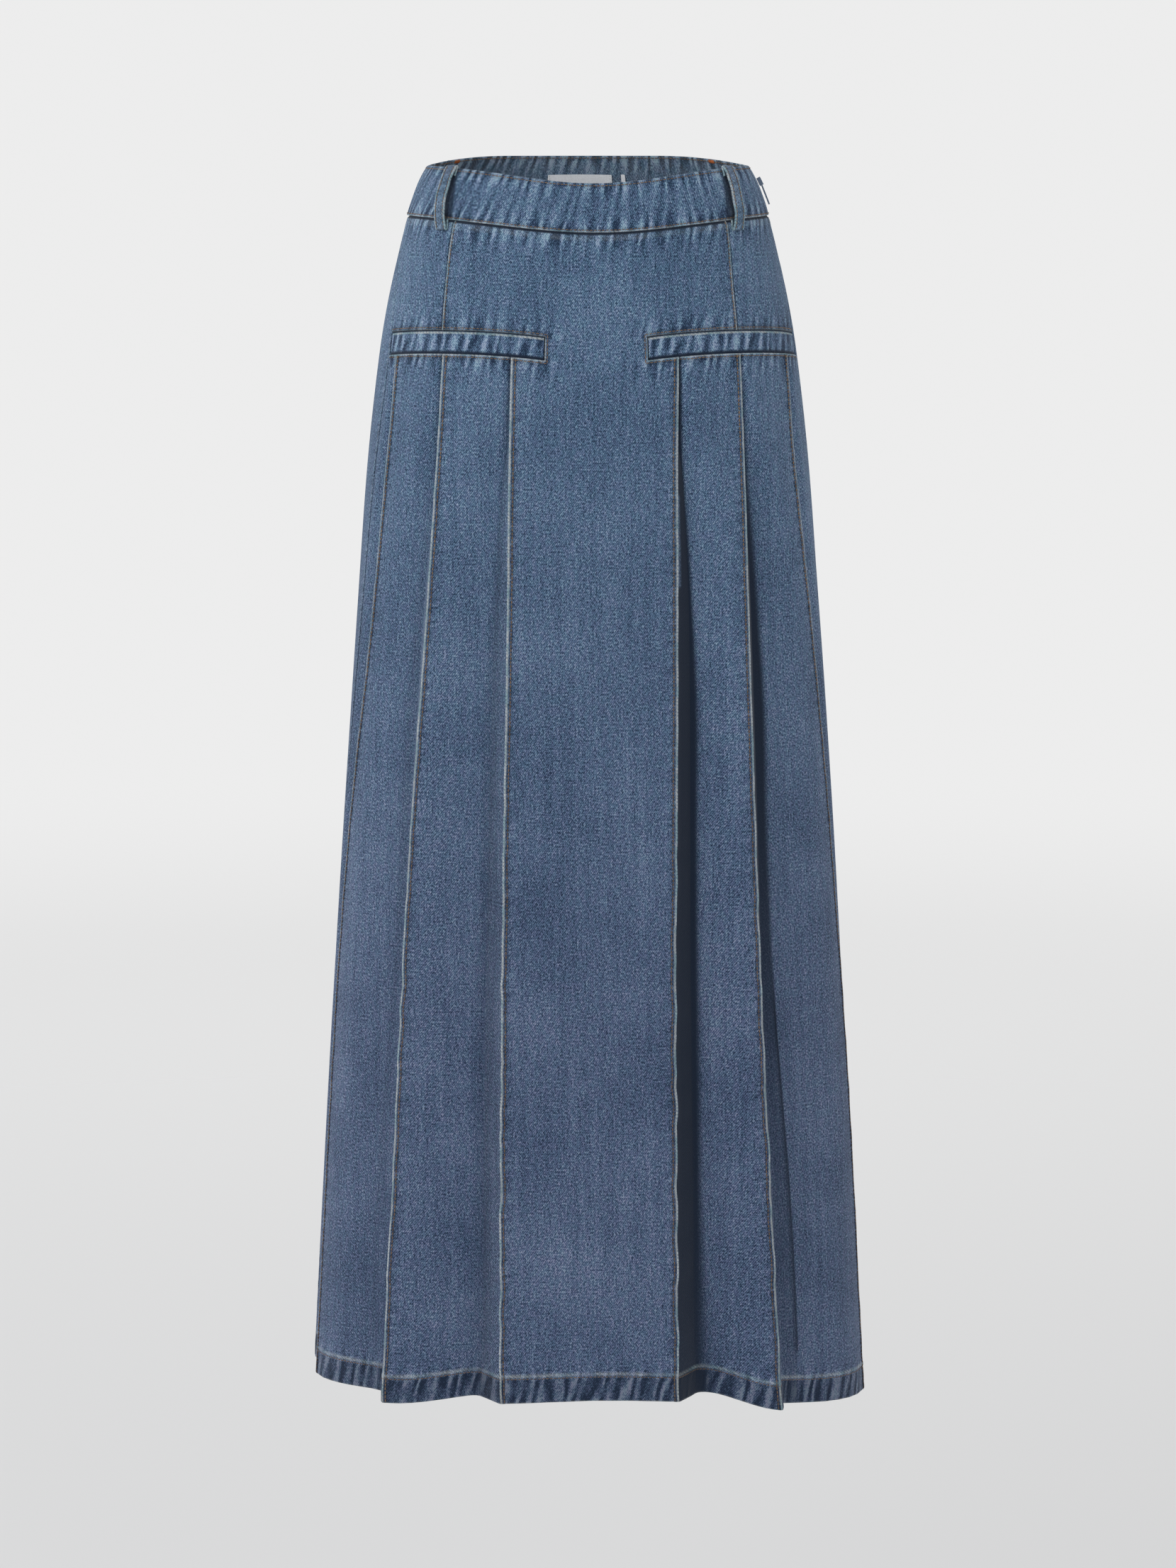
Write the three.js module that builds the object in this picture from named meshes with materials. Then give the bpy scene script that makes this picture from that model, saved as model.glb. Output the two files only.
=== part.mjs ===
// A long denim skirt with long welt pockets and knife pleats, hanging open and hollow as when worn.
// Lengths are millimetres and angles are degrees. +Z is up, -Y is the front and +X is the wearer's left.
// A bearing is the angle round the body from the centre front, positive towards the wearer's left.
// A depth is measured inwards from the garment's outer face, so a negative depth stands proud of it.

import * as THREE from "three";

// Cloth and seams
const CLOTH = 1.2;
const SEAM_GAP = 0.3;
const HEM_HEIGHT = 20;
const HEM_EXTRA = 1.2;
const HEM_STEP = 2;

// Waistband
const BAND_PROUD = 1.0;
const BAND_THICKNESS = 2.6;
const BAND_SIDE_TOP = 24;
const BAND_SIDE_SEAM = -14;
const FRONT_TOP_DIP = 12.7;
const FRONT_SEAM_DIP = 11.3;
const FRONT_DIP_POWER = 2.6;
const BACK_RISE = 7;
const BACK_RISE_FULL = 0.8;
const BAND_SEAM_BEARING = 87;
const SEAM_ROUNDS = 4;

// Pocket windows, between the upper panels and the pleats
const POCKET_TOP = -98;
const POCKET_HEIGHT = 17.4;
const POCKET_BOW = 0.0045;
const POCKET_BOW_CENTRE = 48;
const POCKET_BOW_END = 82;
const POCKET_INNER_BEARING = 18;
const WELT_DEPTH = 1.0;
const WELT_THICKNESS = 2.2;

// Belt loops
const LOOP_WIDTH = 10.4;
const LOOP_THICKNESS = 2.4;
const LOOP_BELOW_SEAM = 7;
const LOOP_BOW = 4.3;
const LOOP_BOW_POWER = 0.5;
const LOOP_SEAT = SEAM_GAP + LOOP_THICKNESS / 2;

// Label and size tag, inside the back of the waistband
const LABEL_WIDTH = 50;
const LABEL_HEIGHT = 20;
const LABEL_OFFSET = 1.7;
const LABEL_BELOW_TOP = 15;
const LABEL_THICKNESS = 0.5;
const TAG_WIDTH = 3;
const TAG_HEIGHT = 12;
const TAG_OFFSET = -32;
const TAG_THICKNESS = 0.9;

// Concealed zip in the side seam at the wearer's left
const ZIP_TOP = 19;
const ZIP_BOTTOM = -185;
const ZIP_TAPE_WIDTH = 24;
const ZIP_TAPE_THICKNESS = 0.8;
const SLIDER_Z = 14;
const SLIDER_WIDTH = 5;
const SLIDER_HEIGHT = 6.5;
const SLIDER_BASE = 0.6;
const SLIDER_REACH = 3.4;
const LUG_WIDTH = 1.2;
const PIVOT_BELOW_TOP = 1.3;
const PIVOT_REACH = 2.3;
const NECK_WIDTH = 2.0;
const NECK_ABOVE_PIVOT = 0.9;
const NECK_LENGTH = 8;
const TAB_LENGTH = 13;
const TAB_WIDTH = 6;
const TAB_ROUNDING = 2;
const TAB_HOLE_RADIUS = 1;
const PULL_THICKNESS = 1.2;
const PULL_LEAN = 5;

// Horizontal sections of the outer face: half the width, the reach to front and back of the
// body's axis, and how square the oval is (2 is an ellipse).
const SECTIONS = [
  { z: -945, halfWidth: 219.2, front: 173, back: 173, square: 2.6 },
  { z: -900, halfWidth: 216.4, front: 170, back: 170, square: 2.58 },
  { z: -700, halfWidth: 204.9, front: 158, back: 159, square: 2.5 },
  { z: -500, halfWidth: 192.2, front: 145.5, back: 150, square: 2.43 },
  { z: -300, halfWidth: 178.0, front: 133.5, back: 142, square: 2.35 },
  { z: -200, halfWidth: 170.2, front: 127.5, back: 137, square: 2.3 },
  { z: -120, halfWidth: 160.9, front: 121.5, back: 129, square: 2.25 },
  { z: -80, halfWidth: 154.2, front: 116.5, back: 121, square: 2.22 },
  { z: -40, halfWidth: 145.1, front: 108.5, back: 111, square: 2.2 },
  { z: -14, halfWidth: 138.2, front: 100.5, back: 103, square: 2.17 },
  { z: 10, halfWidth: 129.7, front: 90.7, back: 95.5, square: 2.15 },
  { z: 24, halfWidth: 122.2, front: 85, back: 90.5, square: 2.15 },
  { z: 40, halfWidth: 112.5, front: 78, back: 84.5, square: 2.15 },
];

// Height of the hem's edge, which swings lower at the wearer's left.
const HEM_LINE = [
  { bearing: -180, z: -921 },
  { bearing: -92, z: -913 },
  { bearing: -50, z: -912.5 },
  { bearing: -25, z: -906 },
  { bearing: 0, z: -903.5 },
  { bearing: 19, z: -905.5 },
  { bearing: 31, z: -908 },
  { bearing: 43, z: -919 },
  { bearing: 65, z: -928 },
  { bearing: 92, z: -931 },
  { bearing: 180, z: -921 },
];

// Bearings of the side seams.
const SIDE_SEAMS = [
  { z: -905, right: -92, left: 91 },
  { z: -600, right: -88, left: 88 },
  { z: -480, right: -85, left: 87 },
  { z: -330, right: -79.5, left: 83 },
  { z: -200, right: -76, left: 80.5 },
  { z: -120, right: -74.5, left: 80 },
  { z: -80, right: -77, left: 81.5 },
  { z: -45, right: -83, left: 85 },
  { z: -14, right: -87, left: 87 },
  { z: 24, right: -87, left: 87 },
];

// Bearings of the seams between the front panel and the upper side fronts.
const PRINCESS_SEAMS = [
  { z: -98, right: -52.4, left: 49.2 },
  { z: -58, right: -53.9, left: 50.6 },
  { z: -20, right: -55.7, left: 53.6 },
];

// Bearings of the pleats' outer fold edges, the first pleat nearest to the centre front.
const FOLD_EDGES = [
  { z: -905, right1: -24.3, right2: -51.0, right3: -78.5, left1: 19.4, left2: 43.6, left3: 77.0 },
  { z: -600, right1: -26.2, right2: -51.7, right3: -78.5, left1: 21.3, left2: 43.8, left3: 75.8 },
  { z: -480, right1: -26.8, right2: -51.7, right3: -76.4, left1: 22.7, left2: 44.5, left3: 74.0 },
  { z: -330, right1: -27.3, right2: -50.6, right3: -70.9, left1: 24.6, left2: 45.7, left3: 70.2 },
  { z: -200, right1: -28.1, right2: -50.0, right3: -68.6, left1: 26.2, left2: 47.3, left3: 67.2 },
  { z: -118, right1: -28.6, right2: -50.7, right3: -69.5, left1: 28.1, left2: 48.9, left3: 69.8 },
];

// How the pleats open. A reach is how far the inner fold lies outwards of the fold edge, negative
// while it is hidden behind it. A drop is the depth of the cloth at the inner fold.
const PLEAT_OPENING = [
  { z: -905, reach1: 30, drop1: 28, reach2: 25, drop2: 25, reach3: 17, drop3: 16, edge: 3.0, dip: 0.45 },
  { z: -850, reach1: 25, drop1: 25, reach2: 18, drop2: 22, reach3: 13, drop3: 14, edge: 2.4, dip: 0.35 },
  { z: -750, reach1: 22, drop1: 22, reach2: 16, drop2: 19, reach3: 11, drop3: 13, edge: 1.8, dip: 0.25 },
  { z: -600, reach1: 20, drop1: 20, reach2: 13, drop2: 16, reach3: 9, drop3: 11, edge: 1.4, dip: 0.2 },
  { z: -480, reach1: 18, drop1: 18, reach2: 12.5, drop2: 14, reach3: 6, drop3: 9, edge: 1.2, dip: 0.15 },
  { z: -330, reach1: 15, drop1: 14, reach2: 11, drop2: 11, reach3: 3, drop3: 7, edge: 1.0, dip: 0.12 },
  { z: -260, reach1: 11, drop1: 10, reach2: 8, drop2: 9, reach3: 0, drop3: 6, edge: 0.9, dip: 0.1 },
  { z: -200, reach1: 5, drop1: 7, reach2: 1, drop2: 6.5, reach3: -6, drop3: 5.2, edge: 0.9, dip: 0.1 },
  { z: -160, reach1: -8, drop1: 5.2, reach2: -12, drop2: 5, reach3: -14, drop3: 4.6, edge: 0.9, dip: 0.1 },
  { z: -118, reach1: -24, drop1: 4.2, reach2: -24, drop2: 4.2, reach3: -20, drop3: 4.2, edge: 0.9, dip: 0.1 },
];
const LEAST_FOLD_RADIUS = 0.9;
const PLEATS = 3;
const HIDDEN_MARGIN = 3;
const SEAM_MARGIN = { right: 1, left: 13 };

// Steps of the front panel's grid
const FOLD_ARC_STEPS = 3;
const PANEL_STEPS = 7;
const LAST_PANEL_STEPS = 5;
const CENTRE_COLUMNS = 2;
const UPPER_WING = 4;
const TUCKED_FRACTION = 0.82;

// Grid columns and rows of the other pieces
const SIDE_FRONT_COLUMNS = 7;
const WELT_GRID = { columns: 15, rows: 3 };
const BACK_COLUMNS = 41;
const BAND_GRID = { columns: 25, rows: 5 };
const LOOP_STATIONS = [0, 0.06, 0.14, 0.26, 0.4, 0.55, 0.7, 0.82, 0.91, 0.97, 1];
const PATCH_GRID = { columns: 5, rows: 3 };
const TAPE_GRID = { columns: 5, rows: 22 };
const TAB_ARC_STEPS = 8;

// Soft flutes in the back panel: the bearing of each trough, half its width, and its depth at the hem.
const BACK_FLUTES = [
  { bearing: 113, halfWidth: 14, depth: 10 },
  { bearing: 139, halfWidth: 12, depth: 15 },
  { bearing: 164, halfWidth: 13, depth: 9 },
  { bearing: 191, halfWidth: 14, depth: 14 },
  { bearing: 218, halfWidth: 13, depth: 11 },
  { bearing: 245, halfWidth: 12, depth: 13 },
];
const FLUTE_START = -230;
const FLUTE_POWER = 1.5;

// Depth of the zip tape's outer face, which passes behind the end of the pocket welt.
const ZIP_TAPE_PATH = [
  { z: -185, depth: 2.0 },
  { z: -150, depth: 2.0 },
  { z: -128, depth: 3.6 },
  { z: -92, depth: 3.6 },
  { z: -70, depth: 2.2 },
  { z: 20, depth: 2.2 },
];

// The four belt loops: bearings of their upper and lower ends, and how far they rise above the band.
const BELT_LOOPS = [
  { name: "belt_loop_front_right", top: -64.6, bottom: -59.4, above: 1.2 },
  { name: "belt_loop_front_left", top: 62.4, bottom: 56.4, above: 1.2 },
  { name: "belt_loop_back_right", top: -118, bottom: -116, above: -1.5 },
  { name: "belt_loop_back_left", top: 118, bottom: 116, above: -1.5 },
];

const denim = { color: 0x4a6486, roughness: 0.9, metalness: 0 };
const paleCloth = { color: 0xc9c9cb, roughness: 0.7, metalness: 0 };
const zipTape = { color: 0x27344c, roughness: 0.85, metalness: 0 };
const zipMetal = { color: 0x8b8d91, roughness: 0.35, metalness: 0.9 };

// Smooth curve through the rows of a table, by one of its columns.
function curve(table, column, key, at) {
  const last = table.length - 1;
  const x = Math.min(Math.max(at, table[0][key]), table[last][key]);
  let i = 0;
  while (i < last - 1 && x > table[i + 1][key]) i += 1;
  const slope = (k) => {
    const before = table[Math.max(k - 1, 0)];
    const after = table[Math.min(k + 1, last)];
    return (after[column] - before[column]) / (after[key] - before[key]);
  };
  const span = table[i + 1][key] - table[i][key];
  const t = (x - table[i][key]) / span;
  const rise = t * t * (3 - 2 * t);
  const value = table[i][column] * (1 - rise) + table[i + 1][column] * rise;
  const bend = slope(i) * t * (1 - t) * (1 - t) - slope(i + 1) * t * t * (1 - t);
  return value + span * bend;
}

function mix(from, to, t) {
  return from + (to - from) * t;
}

function smoothStep(t) {
  const clamped = Math.min(Math.max(t, 0), 1);
  return clamped * clamped * (3 - 2 * clamped);
}

// The point of the garment's oval section at a height and a bearing, moved inwards by a depth.
function wallPoint(bearing, z, depth) {
  const angle = THREE.MathUtils.degToRad(bearing);
  const across = Math.sin(angle);
  const forward = Math.cos(angle);
  const a = curve(SECTIONS, "halfWidth", "z", z);
  const b = curve(SECTIONS, forward > 0 ? "front" : "back", "z", z);
  const n = curve(SECTIONS, "square", "z", z);
  const radius = ((Math.abs(across) / a) ** n + (Math.abs(forward) / b) ** n) ** (-1 / n);
  const x = radius * across;
  const y = -radius * forward;
  const normalX = (Math.sign(x) * (Math.abs(x) / a) ** (n - 1)) / a;
  const normalY = (Math.sign(y) * (Math.abs(y) / b) ** (n - 1)) / b;
  const inward = depth / Math.hypot(normalX, normalY);
  return new THREE.Vector3(x - normalX * inward, y - normalY * inward, z);
}

// Degrees of bearing for each millimetre along the wall, measured over one degree.
function degreesPerMm(bearing, z) {
  const from = wallPoint(bearing - 0.5, z, 0);
  const to = wallPoint(bearing + 0.5, z, 0);
  return 1 / from.distanceTo(to);
}

// How far a bearing faces the front (1) or the back (-1).
function facing(bearing) {
  return Math.cos(THREE.MathUtils.degToRad(bearing));
}

function bandLine(bearing, side, dip) {
  const front = Math.max(facing(bearing), 0);
  const back = Math.max(-facing(bearing), 0);
  return side - dip * front ** FRONT_DIP_POWER + BACK_RISE * smoothStep(back / BACK_RISE_FULL);
}

const bandTop = (bearing) => bandLine(bearing, BAND_SIDE_TOP, FRONT_TOP_DIP);
const bandSeam = (bearing) => bandLine(bearing, BAND_SIDE_SEAM, FRONT_SEAM_DIP);

// The pocket's line runs on level round the back.
function pocketTop(bearing) {
  const near = Math.min(Math.abs(bearing), POCKET_BOW_END);
  return POCKET_TOP - POCKET_BOW * (near - POCKET_BOW_CENTRE) ** 2;
}

const pocketBottom = (bearing) => pocketTop(bearing) - POCKET_HEIGHT;
const hemLine = (bearing) => curve(HEM_LINE, "z", "bearing", bearing > 180 ? bearing - 360 : bearing);

// Rows of the panels' grids: the upper ones run from the waist seam to the pocket's top line, the
// lower ones from its bottom line to the hem.
const HEM_BOTTOM_Z = -905;
const LOWER_LENGTH = pocketBottom(0) - HEM_BOTTOM_Z;
const UPPER_ROWS = [0, 0.2, 0.4, 0.6, 0.8, 1];
const LOWER_ROWS = [0, 0.03, 0.06, 0.1, 0.17, 0.26, 0.4, 0.56, 0.7, 0.82, 0.92];
LOWER_ROWS.push(1 - (HEM_HEIGHT + HEM_STEP) / LOWER_LENGTH, 1 - HEM_HEIGHT / LOWER_LENGTH, 1);

const upperHeight = (row, bearing) =>
  mix(bandSeam(bearing) - SEAM_GAP / 2, pocketTop(bearing), UPPER_ROWS[row]);
const lowerHeight = (row, bearing) => mix(pocketBottom(bearing), hemLine(bearing), LOWER_ROWS[row]);
const hemExtra = (row) => (row >= LOWER_ROWS.length - 2 ? HEM_EXTRA : 0);

// The bearing of a side seam on a row whose height is a function of the bearing, found in rounds.
function seamBearing(side, heightAt) {
  let bearing = side === "left" ? BAND_SEAM_BEARING : -BAND_SEAM_BEARING;
  for (let round = 0; round < SEAM_ROUNDS; round += 1) {
    bearing = curve(SIDE_SEAMS, side, "z", heightAt(bearing));
  }
  return bearing;
}

// A closed wall over a grid of points. Both faces give a point for a column and a row, and a cell
// is left out where has(column, row) is false.
function wallSolid(columns, rows, outer, inner, has = () => true) {
  const vertices = [];
  const triangles = [];
  const numbers = new Map();
  const vertex = (face, i, j) => {
    const id = `${face}/${i}/${j}`;
    if (!numbers.has(id)) {
      numbers.set(id, vertices.length / 3);
      vertices.push(...(face === "outer" ? outer(i, j) : inner(i, j)).toArray());
    }
    return numbers.get(id);
  };
  const quad = (a, b, c, d) => triangles.push(a, b, c, a, c, d);
  const present = (i, j) => i >= 0 && j >= 0 && i < columns - 1 && j < rows - 1 && has(i, j);
  const rim = (i, j, k, l) => {
    quad(vertex("outer", i, j), vertex("outer", k, l), vertex("inner", k, l), vertex("inner", i, j));
  };
  for (let i = 0; i < columns - 1; i += 1) {
    for (let j = 0; j < rows - 1; j += 1) {
      if (!present(i, j)) continue;
      const ring = [[i, j], [i, j + 1], [i + 1, j + 1], [i + 1, j]];
      quad(...ring.map(([k, l]) => vertex("outer", k, l)));
      quad(...ring.reverse().map(([k, l]) => vertex("inner", k, l)));
      if (!present(i - 1, j)) rim(i, j + 1, i, j);
      if (!present(i + 1, j)) rim(i + 1, j, i + 1, j + 1);
      if (!present(i, j - 1)) rim(i, j, i + 1, j);
      if (!present(i, j + 1)) rim(i + 1, j + 1, i, j + 1);
    }
  }
  const geometry = new THREE.BufferGeometry();
  geometry.setAttribute("position", new THREE.Float32BufferAttribute(vertices, 3));
  geometry.setIndex(triangles);
  geometry.computeVertexNormals();
  return geometry;
}

function piece(name, geometry, finish) {
  const mesh = new THREE.Mesh(geometry, new THREE.MeshStandardMaterial(finish));
  mesh.name = name;
  return mesh;
}

// A strip of wall: place(across, down) gives bearing and height for fractions from 0 to 1, and the
// two depths are functions of the same fractions.
function stripSolid({ columns, rows }, place, outerDepth, innerDepth) {
  const face = (depth) => (i, j) => {
    const { bearing, z } = place(i / (columns - 1), j / (rows - 1));
    return wallPoint(bearing, z, depth(i / (columns - 1), j / (rows - 1)));
  };
  return wallSolid(columns, rows, face(outerDepth), face(innerDepth));
}

// Cross section of one pleat at a height, as points of the cloth's middle. Each has its distance
// along the wall from the fold edge, its depth, and the direction in which the cloth runs there.
function pleatSection(pleat, z, panelLength, flatEnd, panelSteps) {
  const read = (column) => curve(PLEAT_OPENING, column, "z", z);
  const reach = read(`reach${pleat}`);
  const drop = read(`drop${pleat}`);
  const edgeRadius = read("edge");
  const valleyRadius = Math.max(LEAST_FOLD_RADIUS, read("dip") * drop);
  const edgeDepth = CLOTH / 2 + edgeRadius;
  const valleyDepth = drop - valleyRadius;
  const length = Math.hypot(reach, valleyDepth - edgeDepth);
  const heading = Math.atan2(valleyDepth - edgeDepth, reach);
  const turn = heading + Math.asin((edgeRadius + valleyRadius) / length);
  const points = [];
  for (let k = 0; k <= FOLD_ARC_STEPS; k += 1) {
    const run = (turn * k) / FOLD_ARC_STEPS;
    const along = edgeRadius * Math.sin(run);
    points.push({ along, depth: edgeDepth - edgeRadius * Math.cos(run), run });
  }
  for (let k = 0; k <= FOLD_ARC_STEPS; k += 1) {
    const run = turn * (1 - k / FOLD_ARC_STEPS);
    const along = reach - valleyRadius * Math.sin(run);
    points.push({ along, depth: valleyDepth + valleyRadius * Math.cos(run), run });
  }
  const start = Math.max(reach, 0);
  const end = panelLength - flatEnd;
  for (let k = 1; k <= panelSteps; k += 1) {
    const along = mix(reach, panelLength, k / panelSteps);
    const t = Math.min(Math.max((along - start) / (end - start), 0), 1);
    const fall = drop - CLOTH / 2;
    const slope = (-fall * 6 * t * (1 - t)) / (end - start);
    points.push({ along, depth: drop - fall * smoothStep(t), run: Math.atan(slope) });
  }
  return points;
}

// The whole lower front of one side on a row, from the first fold edge to the side seam, as bearings
// and depths of the cloth's outer and inner faces.
function pleatedSection(side, row) {
  const sign = side === "left" ? 1 : -1;
  const z = lowerHeight(row, 0);
  const seam = sign * seamBearing(side, (bearing) => lowerHeight(row, bearing));
  const edges = [];
  for (let pleat = 1; pleat <= PLEATS; pleat += 1) {
    edges.push(sign * curve(FOLD_EDGES, `${side}${pleat}`, "z", z));
  }
  const section = [];
  for (let pleat = 1; pleat <= PLEATS; pleat += 1) {
    const edge = edges[pleat - 1];
    const isLast = pleat === PLEATS;
    const goal = isLast ? seam : edges[pleat];
    const perMm = degreesPerMm((edge + goal) / 2, z);
    const seamGap = isLast ? SEAM_GAP / 2 : 0;
    const panelLength = (goal - edge) / perMm - seamGap;
    const nextReach = isLast ? 0 : curve(PLEAT_OPENING, `reach${pleat + 1}`, "z", z);
    const flatEnd = isLast ? SEAM_MARGIN[side] : Math.max(-nextReach, 0) + HIDDEN_MARGIN;
    const steps = isLast ? LAST_PANEL_STEPS : PANEL_STEPS;
    const points = pleatSection(pleat, z, panelLength, flatEnd, steps);
    // The next pleat starts with the point that this panel ends on.
    if (!isLast) points.pop();
    for (const { along, depth, run } of points) {
      const shift = (distance) => ({
        bearing: sign * (edge + perMm * (along + Math.sin(run) * distance)),
        depth: depth - Math.cos(run) * distance,
      });
      section.push({ outer: shift(CLOTH / 2), inner: shift(-CLOTH / 2 - hemExtra(row)) });
    }
  }
  return section;
}

// The front panel: centre, neck between the pockets, and pleated lower part.
function frontPanel() {
  const sections = { left: [], right: [] };
  for (const side of ["left", "right"]) {
    LOWER_ROWS.forEach((_, row) => sections[side].push(pleatedSection(side, row)));
  }
  const half = CENTRE_COLUMNS + 1 + sections.left[0].length;
  const upperRows = UPPER_ROWS.length;

  const upperSpot = (side, sign, place, row) => {
    const nominal = upperHeight(row, curve(PRINCESS_SEAMS, side, "z", POCKET_TOP));
    const princess = Math.abs(curve(PRINCESS_SEAMS, side, "z", nominal));
    const edge = princess - (SEAM_GAP / 2) * degreesPerMm(princess, nominal);
    const outside = Math.max(place - CENTRE_COLUMNS, 0) / UPPER_WING;
    const centre = Math.min(place / CENTRE_COLUMNS, 1) * POCKET_INNER_BEARING;
    return sign * (centre + outside * (edge - POCKET_INNER_BEARING));
  };
  const centreSpot = (side, place, row, face) => {
    const edge = curve(FOLD_EDGES, `${side}1`, "z", lowerHeight(row, 0));
    const edgeAtPocket = Math.abs(curve(FOLD_EDGES, `${side}1`, "z", lowerHeight(0, 0)));
    const along = (POCKET_INNER_BEARING / edgeAtPocket) * (place / CENTRE_COLUMNS);
    const fraction = place > CENTRE_COLUMNS ? TUCKED_FRACTION : along;
    return { bearing: edge * fraction, depth: face === "outer" ? 0 : CLOTH + hemExtra(row) };
  };
  const point = (face) => (i, j) => {
    const sign = i < half ? -1 : 1;
    const side = sign > 0 ? "left" : "right";
    const place = Math.abs(i - half);
    if (j < upperRows) {
      const bearing = upperSpot(side, sign, place, j);
      return wallPoint(bearing, upperHeight(j, bearing), face === "outer" ? 0 : CLOTH);
    }
    const row = j - upperRows;
    const pleated = sections[side][row][place - CENTRE_COLUMNS - 2];
    const spot = pleated ? pleated[face] : centreSpot(side, place, row, face);
    return wallPoint(spot.bearing, lowerHeight(row, spot.bearing), spot.depth);
  };
  const has = (i, j) => {
    const reach = Math.max(Math.abs(i - half), Math.abs(i + 1 - half));
    if (j < upperRows - 1) return reach <= CENTRE_COLUMNS + UPPER_WING;
    if (j === upperRows - 1) return reach <= CENTRE_COLUMNS;
    return true;
  };
  const rows = upperRows + LOWER_ROWS.length;
  return wallSolid(2 * half + 1, rows, point("outer"), point("inner"), has);
}

// The small panel between princess seam and side seam, above the pocket.
function sideFront(side) {
  const sign = side === "left" ? 1 : -1;
  const point = (depth) => (i, j) => {
    const seam = Math.abs(seamBearing(side, (bearing) => upperHeight(j, bearing)));
    const nominal = upperHeight(j, curve(PRINCESS_SEAMS, side, "z", POCKET_TOP));
    const princess = Math.abs(curve(PRINCESS_SEAMS, side, "z", nominal));
    const gap = (SEAM_GAP / 2) * degreesPerMm(seam, nominal);
    const across = i / (SIDE_FRONT_COLUMNS - 1);
    const bearing = sign * mix(princess + gap, seam - gap, sign > 0 ? across : 1 - across);
    return wallPoint(bearing, upperHeight(j, bearing), depth);
  };
  return wallSolid(SIDE_FRONT_COLUMNS, UPPER_ROWS.length, point(0), point(CLOTH));
}

function pocketWelt(side) {
  const sign = side === "left" ? 1 : -1;
  const place = (across, down) => {
    const height = (bearing) => {
      return mix(pocketTop(bearing) - SEAM_GAP, pocketBottom(bearing) + SEAM_GAP, down);
    };
    const seam = Math.abs(seamBearing(side, height));
    const gap = SEAM_GAP * degreesPerMm(seam, POCKET_TOP);
    const bearing = sign * mix(POCKET_INNER_BEARING + gap, seam - gap, sign > 0 ? across : 1 - across);
    return { bearing, z: height(bearing) };
  };
  return stripSolid(WELT_GRID, place, () => WELT_DEPTH, () => WELT_DEPTH + WELT_THICKNESS);
}

// Depth of the back panel's soft flutes.
function fluteDepth(bearing, z) {
  const down = Math.max((FLUTE_START - z) / (FLUTE_START - HEM_BOTTOM_Z), 0) ** FLUTE_POWER;
  let depth = 0;
  for (const flute of BACK_FLUTES) {
    const off = Math.abs(bearing - flute.bearing) / flute.halfWidth;
    if (off < 1) depth += flute.depth * down * (0.5 + 0.5 * Math.cos(Math.PI * off));
  }
  return depth;
}

function backPanel() {
  const upperRows = UPPER_ROWS.length;
  const point = (thickness) => (i, j) => {
    const isUpper = j < upperRows;
    const heightAt = (bearing) => (isUpper ? upperHeight(j, bearing) : lowerHeight(j - upperRows, bearing));
    const left = seamBearing("left", heightAt);
    const right = 360 + seamBearing("right", heightAt);
    const gap = (SEAM_GAP / 2) * degreesPerMm(left, heightAt(left));
    const bearing = mix(left + gap, right - gap, i / (BACK_COLUMNS - 1));
    const hem = isUpper ? 0 : hemExtra(j - upperRows);
    const depth = fluteDepth(bearing, heightAt(180)) + (thickness > 0 ? thickness + hem : 0);
    return wallPoint(bearing, heightAt(bearing), depth);
  };
  return wallSolid(BACK_COLUMNS, upperRows + LOWER_ROWS.length, point(0), point(CLOTH));
}

// Half of the waistband, from one bearing to another.
function waistband(from, to) {
  const gap = (SEAM_GAP / 2) * degreesPerMm(BAND_SEAM_BEARING, 0);
  const place = (across, down) => {
    const bearing = mix(from + gap, to - gap, across);
    return { bearing, z: mix(bandTop(bearing), bandSeam(bearing) + SEAM_GAP / 2, down) };
  };
  const inner = BAND_THICKNESS - BAND_PROUD;
  return stripSolid(BAND_GRID, place, () => -BAND_PROUD, () => inner);
}

// A strip that stands off the waistband between its two sewn ends.
function beltLoop({ top, bottom, above }) {
  const point = (side) => (i, j) => {
    const t = LOOP_STATIONS[j];
    const middle = mix(top, bottom, t);
    const z = mix(bandTop(top) + above, bandSeam(bottom) - LOOP_BELOW_SEAM, t);
    const bearing = middle + (i - 0.5) * LOOP_WIDTH * degreesPerMm(middle, z);
    const seat = mix(BAND_PROUD, 0, t) + LOOP_SEAT;
    const bow = LOOP_BOW * Math.sin(Math.PI * t) ** LOOP_BOW_POWER;
    return wallPoint(bearing, z, -(seat + (t > 0 && t < 1 ? bow : 0)) - side * LOOP_THICKNESS / 2);
  };
  return wallSolid(2, LOOP_STATIONS.length, point(1), point(-1));
}

// A flat patch inside the back waistband, at a distance along the wall from the centre back.
function insidePatch(offset, width, height, thickness) {
  const top = bandTop(180) - LABEL_BELOW_TOP;
  const perMm = degreesPerMm(180, top);
  const outer = BAND_THICKNESS - BAND_PROUD + SEAM_GAP;
  const place = (across, down) => ({
    bearing: 180 + perMm * (offset + width * (across - 0.5)),
    z: top - height * down,
  });
  return stripSolid(PATCH_GRID, place, () => outer, () => outer + thickness);
}

function zipTapeStrip() {
  const place = (across, down) => {
    const z = mix(ZIP_TOP, ZIP_BOTTOM, down);
    const seam = curve(SIDE_SEAMS, "left", "z", z);
    return { bearing: seam + ZIP_TAPE_WIDTH * (across - 0.5) * degreesPerMm(seam, z), z };
  };
  const depth = (across, down) => curve(ZIP_TAPE_PATH, "depth", "z", mix(ZIP_TOP, ZIP_BOTTOM, down));
  const inner = (across, down) => depth(across, down) + ZIP_TAPE_THICKNESS;
  return stripSolid(TAPE_GRID, place, depth, inner);
}

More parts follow.
